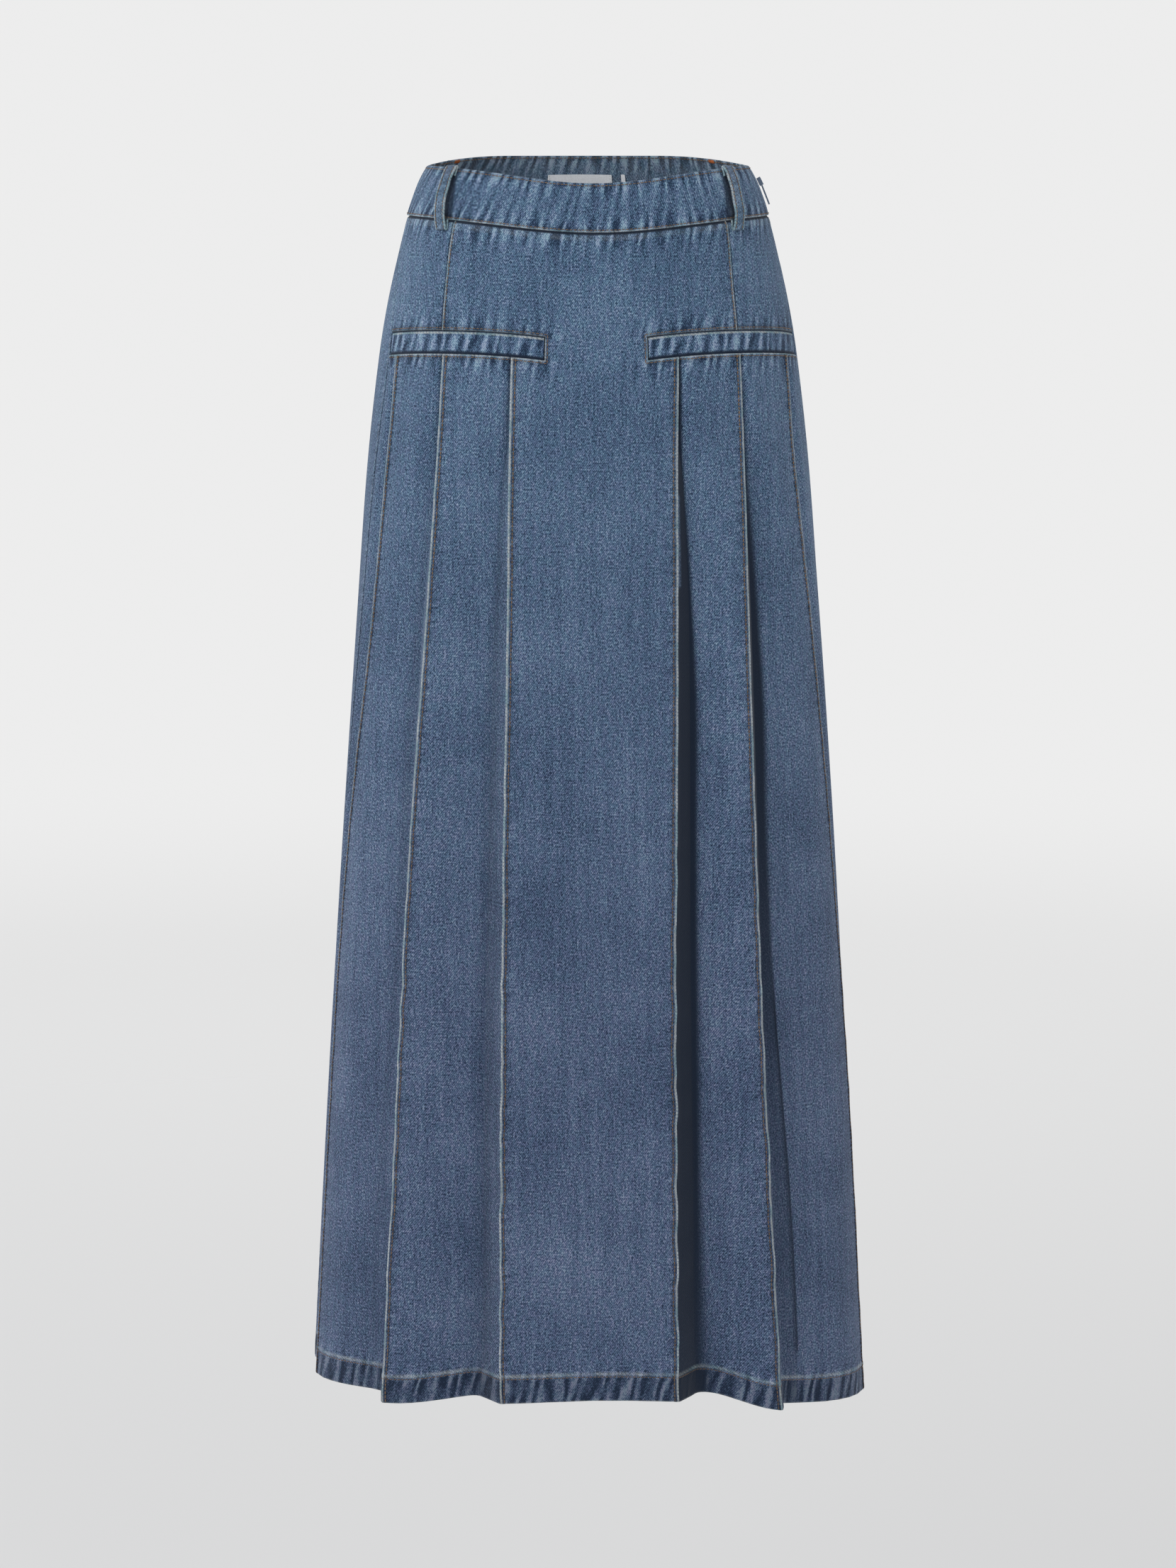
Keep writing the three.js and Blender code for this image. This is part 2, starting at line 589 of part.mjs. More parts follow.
// A frame on the waistband's face at the zip: X along the band, Y up the band, Z out of it.
function zipFrame() {
  const bearing = curve(SIDE_SEAMS, "left", "z", SLIDER_Z);
  const origin = wallPoint(bearing, SLIDER_Z, -BAND_PROUD);
  const above = wallPoint(bearing, SLIDER_Z + SLIDER_HEIGHT, -BAND_PROUD);
  const below = wallPoint(bearing, SLIDER_Z - SLIDER_HEIGHT, -BAND_PROUD);
  const up = above.sub(below);
  const along = wallPoint(bearing + 1, SLIDER_Z, 0).sub(wallPoint(bearing - 1, SLIDER_Z, 0));
  up.normalize();
  along.addScaledVector(up, -along.dot(up)).normalize();
  const out = new THREE.Vector3().crossVectors(along, up);
  const frame = new THREE.Group();
  frame.applyMatrix4(new THREE.Matrix4().makeBasis(along, up, out).setPosition(origin));
  return frame;
}

// The slider's channel: a base on the band and two lugs that hold the pull between them.
function sliderChannel() {
  const half = SLIDER_WIDTH / 2;
  const inside = half - LUG_WIDTH;
  const floor = SEAM_GAP + SLIDER_BASE;
  const outline = new THREE.Shape();
  outline.moveTo(-half, SEAM_GAP);
  outline.lineTo(half, SEAM_GAP);
  outline.lineTo(half, SLIDER_REACH);
  outline.lineTo(inside, SLIDER_REACH);
  outline.lineTo(inside, floor);
  outline.lineTo(-inside, floor);
  outline.lineTo(-inside, SLIDER_REACH);
  outline.lineTo(-half, SLIDER_REACH);
  outline.closePath();
  const channel = new THREE.ExtrudeGeometry(outline, { depth: SLIDER_HEIGHT, bevelEnabled: false });
  return channel.rotateX(Math.PI / 2);
}

// The pull tab, drawn hanging down from its pivot at the origin: a neck that widens to a tab.
function pullTab() {
  const neck = NECK_WIDTH / 2;
  const tab = TAB_WIDTH / 2;
  const end = -NECK_LENGTH - TAB_LENGTH;
  const outline = new THREE.Shape();
  outline.moveTo(-neck, NECK_ABOVE_PIVOT);
  outline.lineTo(-neck, -NECK_LENGTH);
  outline.quadraticCurveTo(-neck, -NECK_LENGTH - TAB_ROUNDING, -tab, -NECK_LENGTH - 2 * TAB_ROUNDING);
  outline.lineTo(-tab, end + tab);
  outline.absarc(0, end + tab, tab, Math.PI, 2 * Math.PI);
  outline.lineTo(tab, -NECK_LENGTH - 2 * TAB_ROUNDING);
  outline.quadraticCurveTo(neck, -NECK_LENGTH - TAB_ROUNDING, neck, -NECK_LENGTH);
  outline.lineTo(neck, NECK_ABOVE_PIVOT);
  outline.closePath();
  const hole = new THREE.Path();
  hole.absarc(0, end + tab, TAB_HOLE_RADIUS, 0, 2 * Math.PI);
  outline.holes.push(hole);
  const options = { depth: PULL_THICKNESS, bevelEnabled: false, curveSegments: TAB_ARC_STEPS };
  return new THREE.ExtrudeGeometry(outline, options).translate(0, 0, -PULL_THICKNESS / 2);
}

const skirt = new THREE.Group();

skirt.add(piece("front_panel", frontPanel(), denim));
for (const side of ["left", "right"]) {
  skirt.add(piece(`side_front_${side}`, sideFront(side), denim));
  skirt.add(piece(`pocket_welt_${side}`, pocketWelt(side), denim));
}
skirt.add(piece("back_panel", backPanel(), denim));
skirt.add(piece("waistband_front", waistband(-BAND_SEAM_BEARING, BAND_SEAM_BEARING), denim));
skirt.add(piece("waistband_back", waistband(BAND_SEAM_BEARING, 360 - BAND_SEAM_BEARING), denim));
for (const loop of BELT_LOOPS) {
  skirt.add(piece(loop.name, beltLoop(loop), denim));
}
const labelPatch = insidePatch(LABEL_OFFSET, LABEL_WIDTH, LABEL_HEIGHT, LABEL_THICKNESS);
skirt.add(piece("label", labelPatch, paleCloth));
skirt.add(piece("size_tag", insidePatch(TAG_OFFSET, TAG_WIDTH, TAG_HEIGHT, TAG_THICKNESS), paleCloth));
skirt.add(piece("zip_tape", zipTapeStrip(), zipTape));

const zip = zipFrame();
zip.add(piece("zip_slider", sliderChannel(), zipMetal));
const pull = piece("zip_pull", pullTab(), zipMetal);
pull.position.set(0, -PIVOT_BELOW_TOP, PIVOT_REACH);
pull.rotation.x = THREE.MathUtils.degToRad(PULL_LEAN);
zip.add(pull);
skirt.add(zip);

export default skirt;
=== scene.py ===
"""A long denim skirt, filled out as when worn: cloth, sewing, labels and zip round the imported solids.

Lengths are millimetres and angles are degrees up to the point where a mesh is made, which is in
metres. +Z is up, -Y is the front and +X is the wearer's left. A bearing is the angle round the body
from the centre front, positive towards the wearer's left. A depth is measured inwards from the
garment's outer face, so a negative depth stands proud of it.
"""

import math

import bpy
import numpy as np
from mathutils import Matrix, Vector


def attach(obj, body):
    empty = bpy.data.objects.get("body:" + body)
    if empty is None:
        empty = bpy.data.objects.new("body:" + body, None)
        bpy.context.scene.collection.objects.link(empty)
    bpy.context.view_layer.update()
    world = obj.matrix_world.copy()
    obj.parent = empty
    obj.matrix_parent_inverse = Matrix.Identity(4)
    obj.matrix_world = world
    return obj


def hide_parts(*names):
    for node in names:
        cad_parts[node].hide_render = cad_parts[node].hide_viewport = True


MM = 0.001

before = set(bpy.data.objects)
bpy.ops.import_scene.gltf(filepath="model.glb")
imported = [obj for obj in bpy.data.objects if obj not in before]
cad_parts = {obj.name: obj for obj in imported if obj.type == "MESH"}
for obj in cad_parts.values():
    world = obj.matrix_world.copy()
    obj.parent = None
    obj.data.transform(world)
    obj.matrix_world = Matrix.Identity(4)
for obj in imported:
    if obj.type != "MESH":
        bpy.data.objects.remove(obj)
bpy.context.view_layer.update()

# Cloth and seams
CLOTH = 1.2
SEAM_GAP = 0.3
HEM_HEIGHT = 20
HEM_EXTRA = 1.2
HEM_BOTTOM = -905
HEM_STITCH = 18.4
HEM_WEAR = 20.4
TOPSTITCH = 1.9
EDGE_STITCH = 2.4

# Waistband
BAND_PROUD = 1.0
BAND_INSIDE = 1.6
BAND_TOP = 24
BAND_SEAM = -14
FRONT_TOP_DIP = 12.7
FRONT_SEAM_DIP = 11.3
FRONT_DIP_POWER = 2.6
BACK_RISE = 7
BACK_RISE_FULL = 0.8
BAND_SEAM_BEARING = 87
SEAM_ROUNDS = 4

# Pocket windows and their welts
POCKET_TOP = -98
POCKET_HEIGHT = 17.4
POCKET_BOW = 0.0045
POCKET_BOW_CENTRE = 48
POCKET_BOW_END = 82
POCKET_INNER_BEARING = 18
WELT_DEPTH = 1.0
WELT_BACKING_DEPTH = 1.7
WELT_CLOTH = 0.9
WELT_OVERLAP = 5
WELT_MARGIN = 1.1

# Belt loops
LOOP_WIDTH = 10.4
LOOP_CLOTH = 1.7
LOOP_BELOW_SEAM = 7
LOOP_BOW = 2.7
LOOP_TURN = 1.05
LOOP_SHADE = 2.4

# Labels inside the back of the waistband
LABEL_SIZE = (50, 20)
LABEL_GRID = (41, 17)
LABEL_BELOW_TOP = 15
LABEL_OFFSET = 1.7
TAG_SIZE = (3, 12)
TAG_GRID = (9, 13)
TAG_OFFSET = -32

# Stitches
STITCH_PITCH = 3.0
STITCH_LENGTH = 2.45
THREAD_RADIUS = 0.32
PLEAT_THREAD_RADIUS = 0.4

# A distance that stands for an edge out of reach
FAR = 1e3


def table(columns, *rows):
    """Named columns of numbers."""
    return {name: np.array(values, float) for name, values in zip(columns.split(), zip(*rows))}


# Horizontal sections of the outer face: half the width, the reach to front and back of the
# body's axis, and how square the oval is.
SECTIONS = table(
    "z half_width front back square",
    (-945, 219.2, 173, 173, 2.6),
    (-900, 216.4, 170, 170, 2.58),
    (-700, 204.9, 158, 159, 2.5),
    (-500, 192.2, 145.5, 150, 2.43),
    (-300, 178.0, 133.5, 142, 2.35),
    (-200, 170.2, 127.5, 137, 2.3),
    (-120, 160.9, 121.5, 129, 2.25),
    (-80, 154.2, 116.5, 121, 2.22),
    (-40, 145.1, 108.5, 111, 2.2),
    (-14, 138.2, 100.5, 103, 2.17),
    (10, 129.7, 90.7, 95.5, 2.15),
    (24, 122.2, 85, 90.5, 2.15),
    (40, 112.5, 78, 84.5, 2.15),
)

HEM_LINE = table(
    "bearing z",
    (-180, -921),
    (-92, -913),
    (-50, -912.5),
    (-25, -906),
    (0, -903.5),
    (19, -905.5),
    (31, -908),
    (43, -919),
    (65, -928),
    (92, -931),
    (180, -921),
)

SIDE_SEAMS = table(
    "z right left",
    (-905, -92, 91),
    (-600, -88, 88),
    (-480, -85, 87),
    (-330, -79.5, 83),
    (-200, -76, 80.5),
    (-120, -74.5, 80),
    (-80, -77, 81.5),
    (-45, -83, 85),
    (-14, -87, 87),
    (24, -87, 87),
)

PRINCESS_SEAMS = table(
    "z right left",
    (-98, -52.4, 49.2),
    (-58, -53.9, 50.6),
    (-20, -55.7, 53.6),
)

# Bearings of the pleats' outer fold edges, the first pleat nearest to the centre front.
FOLD_EDGES = table(
    "z right1 right2 right3 left1 left2 left3",
    (-905, -24.3, -51.0, -78.5, 19.4, 43.6, 77.0),
    (-600, -26.2, -51.7, -78.5, 21.3, 43.8, 75.8),
    (-480, -26.8, -51.7, -76.4, 22.7, 44.5, 74.0),
    (-330, -27.3, -50.6, -70.9, 24.6, 45.7, 70.2),
    (-200, -28.1, -50.0, -68.6, 26.2, 47.3, 67.2),
    (-118, -28.6, -50.7, -69.5, 28.1, 48.9, 69.8),
)

# How the pleats open: how far the inner fold lies outwards of the fold edge, and how deep.
PLEAT_OPENING = table(
    "z reach1 drop1 reach2 drop2 reach3 drop3 edge valley",
    (-905, 30, 28, 25, 25, 17, 16, 3.0, 0.45),
    (-850, 25, 25, 18, 22, 13, 14, 2.4, 0.35),
    (-750, 22, 22, 16, 19, 11, 13, 1.8, 0.25),
    (-600, 20, 20, 13, 16, 9, 11, 1.4, 0.2),
    (-480, 18, 18, 12.5, 14, 6, 9, 1.2, 0.15),
    (-330, 15, 14, 11, 11, 3, 7, 1.0, 0.12),
    (-260, 11, 10, 8, 9, 0, 6, 0.9, 0.1),
    (-200, 5, 7, 1, 6.5, -6, 5.2, 0.9, 0.1),
    (-160, -8, 5.2, -12, 5, -14, 4.6, 0.9, 0.1),
    (-118, -24, 4.2, -24, 4.2, -20, 4.2, 0.9, 0.1),
)
LEAST_FOLD_RADIUS = 0.9
PLEATS = (1, 2, 3)
HIDDEN_MARGIN = 3
SEAM_MARGIN = {"right": 1, "left": 13}

# The stitched ridge along each fold edge
RIDGE_RISE = 0.9
RIDGE_WIDTH = 3.4
RIDGE_SLOPE = 1.1
RIDGE_FADE = 1.6
CREST_WIDTH = 0.7
WANDER_REACH = 14
WANDER_SOFT = 9

# Painted shade in each pleat's fold, standing in for the shadow under the fold edge, partly unfaded dye:
# its width past the fold edge, how softly it ends, and how dark it is at the wearer's left
FOLD_SHADE = table(
    "z width1 soft1 dark1 width2 soft2 dark2 width3 soft3 dark3",
    (-905, 31.0, 11.0, 0.88, 38.0, 0.9, 0.25, 12, 5, 0.3),
    (-858, 29.5, 8.0, 0.94, 37.5, 0.9, 0.30, 11, 5, 0.4),
    (-755, 26.5, 4.5, 0.98, 34.5, 0.9, 0.38, 9, 4, 0.5),
    (-652, 25.8, 3.6, 1.0, 27.6, 1.2, 0.50, 8, 3, 0.6),
    (-601, 25.2, 3.0, 1.0, 24.6, 1.8, 0.74, 7, 3, 0.7),
    (-472, 23.0, 2.6, 1.0, 22.0, 3.4, 0.97, 6, 2, 0.8),
    (-382, 22.0, 2.6, 1.0, 22.2, 3.4, 0.99, 5, 2, 0.8),
    (-279, 14.6, 2.2, 1.0, 15.2, 3.0, 0.97, 4, 2, 0.7),
    (-189, 6.2, 1.6, 0.98, 6.0, 2.0, 0.85, 3, 1.5, 0.6),
    (-118, 3.0, 1.0, 0.95, 1.5, 1.0, 0.80, 1, 1, 0.5),
)
FOLD_SHADE_SHARE = {"left": 1.0, "right": 0.16}

# A painted dark crease line at the edge of the second pleat's painted shade strip: where it starts and
# ends, and over what
CREASE_FROM, CREASE_TO = -560, -868
CREASE_FADE, CREASE_END = 60, 8
CREASE_WIDTH = 1.2
CREASE_STRENGTH = 0.7

# How a pleat's panel rises back to the outer face: steeply at the pockets, evenly further down
TIGHT_RISE = 7
OPEN_RISE_FROM = 130
OPEN_RISE_OVER = 150

BACK_FLUTES = table(
    "bearing half_width depth",
    (113, 14, 10),
    (139, 12, 15),
    (164, 13, 9),
    (191, 14, 14),
    (218, 13, 11),
    (245, 12, 13),
)
FLUTE_START = -230
FLUTE_POWER = 1.5

# Back darts: bearings from the centre back, length, and how deep their seam lies
DARTS = (-27, 25)
DART_LENGTH = 96
DART_DEPTH = 0.7

# Bearings of the belt loops' upper and lower ends, and how far they rise above the band
BELT_LOOPS = {
    "belt_loop_front_right": (-64.6, -59.4, 1.2),
    "belt_loop_front_left": (62.4, 56.4, 1.2),
    "belt_loop_back_right": (-118, -116, -1.5),
    "belt_loop_back_left": (118, 116, -1.5),
}


def curve(rows, column, key, at):
    """Smooth curve through the rows of a table, by one of its columns."""
    xs, ys = rows[key], rows[column]
    last = len(xs) - 1
    x = np.clip(at, xs[0], xs[-1])
    i = np.clip(np.searchsorted(xs, x) - 1, 0, last - 1)
    after = np.minimum(np.arange(last + 1) + 1, last)
    before = np.maximum(np.arange(last + 1) - 1, 0)
    slopes = (ys[after] - ys[before]) / (xs[after] - xs[before])
    span = xs[i + 1] - xs[i]
    t = (x - xs[i]) / span
    rise = t * t * (3 - 2 * t)
    bend = slopes[i] * t * (1 - t) ** 2 - slopes[i + 1] * t * t * (1 - t)
    return ys[i] * (1 - rise) + ys[i + 1] * rise + span * bend


def mix(start, end, t):
    return start + (end - start) * t


def smooth_step(t):
    t = np.clip(t, 0, 1)
    return t * t * (3 - 2 * t)


def within(distance, reach, soft):
    """One nearer than a reach, and softly down to zero at it."""
    return smooth_step((reach - distance) / soft)


def around(distance, centre, width):
    """A smooth hump round a distance from an edge."""
    return np.exp(-(((distance - centre) / width) ** 2))


def noise(x, seed):
    """Smooth noise along a line, from -1 to 1, the same on each run."""
    cell = np.floor(x)
    t = smooth_step(x - cell)

    def value(k):
        return np.modf(np.abs(np.sin(k * 12.9898 + seed * 78.233) * 4375.85))[0]

    return 2 * mix(value(cell), value(cell + 1), t) - 1


def noise_2d(x, y, seed):
    """Smooth noise over a plane, from -1 to 1."""
    row = np.floor(y)
    t = smooth_step(y - row)
    return mix(noise(x + row * 17.31, seed), noise(x + (row + 1) * 17.31, seed), t)


def wall_point(bearing, z, depth=0.0):
    """The point of the garment's oval section at a height and a bearing, moved inwards."""
    bearing, z, depth = np.broadcast_arrays(np.asarray(bearing, float), z, depth)
    across = np.sin(np.radians(bearing))
    forward = np.cos(np.radians(bearing))
    a = curve(SECTIONS, "half_width", "z", z)
    b = np.where(forward > 0, curve(SECTIONS, "front", "z", z), curve(SECTIONS, "back", "z", z))
    n = curve(SECTIONS, "square", "z", z)
    radius = ((np.abs(across) / a) ** n + (np.abs(forward) / b) ** n) ** (-1 / n)
    x = radius * across
    y = -radius * forward
    normal_x = np.sign(x) * (np.abs(x) / a) ** (n - 1) / a
    normal_y = np.sign(y) * (np.abs(y) / b) ** (n - 1) / b
    inward = depth / np.hypot(normal_x, normal_y)
    return np.stack([x - normal_x * inward, y - normal_y * inward, z + 0 * x], axis=-1)


def degrees_per_mm(bearing, z):
    """Degrees of bearing for each millimetre along the wall, measured over one degree."""
    bearing = np.asarray(bearing, float)
    ends = wall_point(bearing - 0.5, z), wall_point(bearing + 0.5, z)
    return 1 / np.linalg.norm(ends[1] - ends[0], axis=-1)


def band_line(bearing, side, dip):
    facing = np.cos(np.radians(bearing))
    front = np.maximum(facing, 0) ** FRONT_DIP_POWER
    return side - dip * front + BACK_RISE * smooth_step(-facing / BACK_RISE_FULL)


def band_top(bearing):
    return band_line(bearing, BAND_TOP, FRONT_TOP_DIP)


def band_seam(bearing):
    return band_line(bearing, BAND_SEAM, FRONT_SEAM_DIP)


def pocket_top(bearing):
    near = np.minimum(np.abs(bearing), POCKET_BOW_END)
    return POCKET_TOP - POCKET_BOW * (near - POCKET_BOW_CENTRE) ** 2


def pocket_bottom(bearing):
    return pocket_top(bearing) - POCKET_HEIGHT


def hem_line(bearing):
    bearing = np.asarray(bearing, float)
    return curve(HEM_LINE, "z", "bearing", np.where(bearing > 180, bearing - 360, bearing))


def seam_bearing(side, height_at):
    """The bearing of a side seam on rows whose height is a function of the bearing."""
    bearing = BAND_SEAM_BEARING if side == "left" else -BAND_SEAM_BEARING
    bearing = np.full(np.shape(height_at(float(bearing))), float(bearing))
    for _ in range(SEAM_ROUNDS):
        bearing = curve(SIDE_SEAMS, side, "z", height_at(bearing))
    return bearing


# Rows of the panels' grids. A row lies at a fraction of the way down its block, moved by an offset.
NEAR_EDGE = (0.0, 0.35, 0.8, 1.3, TOPSTITCH, 2.6)


def row_plan(top_offsets, middle, bottom_offsets):
    """Rows of a block: offsets down from its top, even steps, and offsets up from its bottom."""
    start, end = top_offsets[-1], bottom_offsets[0]
    plan = [(0.0, -offset) for offset in top_offsets]
    for k in range(1, middle + 1):
        t = k / (middle + 1)
        plan.append((t, mix(-start, end, t)))
    plan += [(1.0, offset) for offset in bottom_offsets]
    return np.array(plan)


UPPER_PLAN = row_plan((0.0, 0.5, 1.1, 2.0), 31, tuple(reversed(NEAR_EDGE)))
NECK_PLAN = row_plan((0.0,), 7, (0.0,))
HEM_OFFSETS = (23.0, 20.6, 19.4, HEM_STITCH, 17.0, 15.2, 13.2, 11.2, 9.2, 7.2, 5.4, 3.8, 2.4, 1.3, 0.5, 0.0)
LOWER_PLAN = row_plan(NEAR_EDGE, 233, HEM_OFFSETS)
BACK_PLAN = row_plan((0.0, 0.5, 1.1, 2.0), 215, HEM_OFFSETS)
HEM_STITCH_ROW = HEM_OFFSETS.index(HEM_STITCH) - len(HEM_OFFSETS)
TOP_STITCH_ROW = NEAR_EDGE.index(TOPSTITCH)


def plan_height(plan, row, top, bottom):
    fraction, offset = plan[row]
    return mix(top, bottom, fraction) + offset


def upper_height(row, bearing):
    return plan_height(UPPER_PLAN, row, band_seam(bearing) - SEAM_GAP / 2, pocket_top(bearing))


def lower_height(row, bearing):
    return plan_height(LOWER_PLAN, row, pocket_bottom(bearing), hem_line(bearing))


def back_height(row, bearing):
    return plan_height(BACK_PLAN, row, band_seam(bearing) - SEAM_GAP / 2, hem_line(bearing))


def hem_extra(above_hem):
    return HEM_EXTRA * (1 - smooth_step((above_hem - HEM_HEIGHT + 1) / 2))


def rope(u, v, period, seed):
    """Slanted, uneven streaks along a stitched edge, from -1 to 1."""
    wander = 0.45 * noise(u / (1.7 * period), seed)
    streak = np.sin(2 * math.pi * ((u + 0.55 * v) / period + wander))
    return streak * (0.65 + 0.35 * noise(u / (2.3 * period), seed + 1))


# Meshes


def outward(grid):
    """Unit normals of a grid whose columns run round the body and whose rows run down."""
    across = np.gradient(grid, axis=0)
    down = np.gradient(grid, axis=1)
    normal = np.cross(down, across)
    return normal / np.maximum(np.linalg.norm(normal, axis=-1, keepdims=True), 1e-9)


def new_object(name, vertices, faces, material, uv=None, marks=None, crease=40):
    """A mesh object from points in millimetres, with smooth faces and sharp edges at its rims."""
    mesh = bpy.data.meshes.new(name)
    mesh.from_pydata((np.asarray(vertices) * MM).tolist(), [], faces)
    mesh.polygons.foreach_set("use_smooth", [True] * len(mesh.polygons))
    mesh.set_sharp_from_angle(angle=math.radians(crease))
    if uv is not None:
        corner = np.zeros(len(mesh.loops), np.int32)
        mesh.loops.foreach_get("vertex_index", corner)
        layer = mesh.uv_layers.new(name="cloth")
        layer.data.foreach_set("uv", (np.asarray(uv)[corner] * MM).astype(np.float32).ravel())
    for key, values in (marks or {}).items():
        layer = mesh.attributes.new(key, "FLOAT", "POINT")
        layer.data.foreach_set("value", np.asarray(values, np.float32))
    mesh.materials.append(material)
    obj = bpy.data.objects.new(name, mesh)
    bpy.context.scene.collection.objects.link(obj)
    return obj


def cloth_piece(name, outer, inner, uv, marks, material, has=None):
    """A thin closed shell: a fine outer face, and an inner face on every second column and row.

    outer and inner are grids of points, uv and each of the marks are grids of values, and has is
    true for the cells of the grid that exist. Columns, rows and openings lie on even numbers.
    """
    columns, rows = outer.shape[:2]
    has = np.ones((columns - 1, rows - 1), bool) if has is None else has
    vertices, texture, faces = [], [], []
    values = {key: [] for key in (*marks, "inside")}
    numbers = {}

    def vertex(face, i, j):
        key = (face, i, j)
        if key not in numbers:
            numbers[key] = len(vertices)
            vertices.append((outer if face else inner)[i, j])
            texture.append(uv[i, j])
            for mark, grid in marks.items():
                values[mark].append(grid[i, j] * face)
            values["inside"].append(1 - face)
        return numbers[key]

    def present(i, j):
        return 0 <= i < columns - 1 and 0 <= j < rows - 1 and has[i, j]

    for i in range(columns - 1):
        for j in range(rows - 1):
            if has[i, j]:
                ring = ((i, j), (i, j + 1), (i + 1, j + 1), (i + 1, j))
                faces.append([vertex(1, *spot) for spot in ring])
    for i in range(0, columns - 1, 2):
        for j in range(0, rows - 1, 2):
            if not has[i, j]:
                continue
            ring = ((i, j), (i + 2, j), (i + 2, j + 2), (i, j + 2))
            faces.append([vertex(0, *spot) for spot in ring])
            sides = (
                (present(i - 1, j), (i, j + 2), (i, j + 1), (i, j)),
                (present(i + 2, j), (i + 2, j), (i + 2, j + 1), (i + 2, j + 2)),
                (present(i, j - 1), (i, j), (i + 1, j), (i + 2, j)),
                (present(i, j + 2), (i + 2, j + 2), (i + 1, j + 2), (i, j + 2)),
            )
            for joined, first, middle, last in sides:
                if not joined:
                    edge = [vertex(1, *first), vertex(1, *middle), vertex(1, *last)]
                    faces.append([*edge, vertex(0, *last), vertex(0, *first)])
    return new_object(name, vertices, faces, material, texture, values)


def arc_lengths(grid):
    """Distance along the cloth from the first column."""
    steps = np.linalg.norm(np.diff(grid, axis=0), axis=-1)
    return np.vstack([np.zeros(grid.shape[1]), np.cumsum(steps, axis=0)])


def texture_grid(grid, centre):
    """Texture coordinates: along the cloth from a column, and down."""
    along = arc_lengths(grid)
    return np.stack([along - along[centre], grid[..., 2]], axis=-1)


def resample(points, normals, pitch):
    """Stations at an even pitch along a line, with their normals."""
    steps = np.linalg.norm(np.diff(points, axis=0), axis=1)
    at = np.r_[0, np.cumsum(steps)]
    count = max(int(at[-1] / pitch), 1)
    stations = np.linspace(0, at[-1], count + 1)
    place = np.stack([np.interp(stations, at, points[:, k]) for k in range(3)], axis=1)
    normal = np.stack([np.interp(stations, at, normals[:, k]) for k in range(3)], axis=1)
    return place, normal / np.linalg.norm(normal, axis=1, keepdims=True)


# A stitch: how far along it each ring lies, its radius, and how high it rides.
STITCH_RINGS = table(
    "along radius height",
    (-0.5, 0.15, -0.25),
    (-0.4, 0.85, 0.35),
    (0.0, 1.0, 0.75),
    (0.4, 0.85, 0.35),
    (0.5, 0.15, -0.25),
)
STITCH_SIDES = 5
BARTACK_WIDTH = 5.4
BARTACK_LENGTH = 3.0
BARTACK_BELOW_TOP = 0.4
BARTACK_STITCHES = 9


def stitches(name, lines, material, pitch=STITCH_PITCH, length=STITCH_LENGTH, radius=THREAD_RADIUS):
    """Raised stitches along lines, each a pair of points and normals."""
    vertices, faces = [], []
    turns = 2 * math.pi * np.arange(STITCH_SIDES) / STITCH_SIDES
    rings = len(STITCH_RINGS["along"])
    for points, normals in lines:
        place, normal = resample(points, normals, pitch)
        for k in range(len(place) - 1):
            run = place[k + 1] - place[k]
            run /= np.linalg.norm(run)
            up = normal[k] - run * np.dot(normal[k], run)
            up /= np.linalg.norm(up)
            side = np.cross(run, up)
            middle = (place[k] + place[k + 1]) / 2
            start = len(vertices)
            for along, size, height in zip(*STITCH_RINGS.values()):
                centre = middle + run * along * length + up * height * radius
                for turn in turns:
                    spoke = up * math.cos(turn) + side * math.sin(turn)
                    vertices.append(centre + spoke * size * radius)
            for ring in range(rings - 1):
                for m in range(STITCH_SIDES):
                    near, far = start + ring * STITCH_SIDES, start + (ring + 1) * STITCH_SIDES
                    n = (m + 1) % STITCH_SIDES
                    faces.append([near + m, far + m, far + n, near + n])
            faces.append(list(range(start, start + STITCH_SIDES)))
            last = start + (rings - 1) * STITCH_SIDES
            faces.append(list(range(last + STITCH_SIDES - 1, last - 1, -1)))
    return new_object(name, vertices, faces, material, crease=80)


def swept(name, rings, uv, marks, material):
    """A closed tube through rings of points: rings is a grid of stations by points round a ring."""
    stations, sides = rings.shape[:2]
    vertices = rings.reshape(-1, 3)
    faces = []
    for i in range(stations - 1):
        for j in range(sides):
            k = (j + 1) % sides
            faces.append([i * sides + j, i * sides + k, (i + 1) * sides + k, (i + 1) * sides + j])
    last = (stations - 1) * sides
    faces.append(list(range(sides - 1, -1, -1)))
    faces.append(list(range(last, last + sides)))
    values = {key: grid.reshape(-1) for key, grid in marks.items()}
    return new_object(name, vertices, faces, material, uv.reshape(-1, 2), values)


# Materials


def new_material(name, base, roughness, specular, sheen=0.0):
    material = bpy.data.materials.new(name)
    material.use_nodes = True
    shader = material.node_tree.nodes["Principled BSDF"]
    shader.inputs["Base Color"].default_value = (*base, 1)
    shader.inputs["Roughness"].default_value = roughness
    shader.inputs["Specular IOR Level"].default_value = specular
    shader.inputs["Sheen Weight"].default_value = sheen
    return material, shader


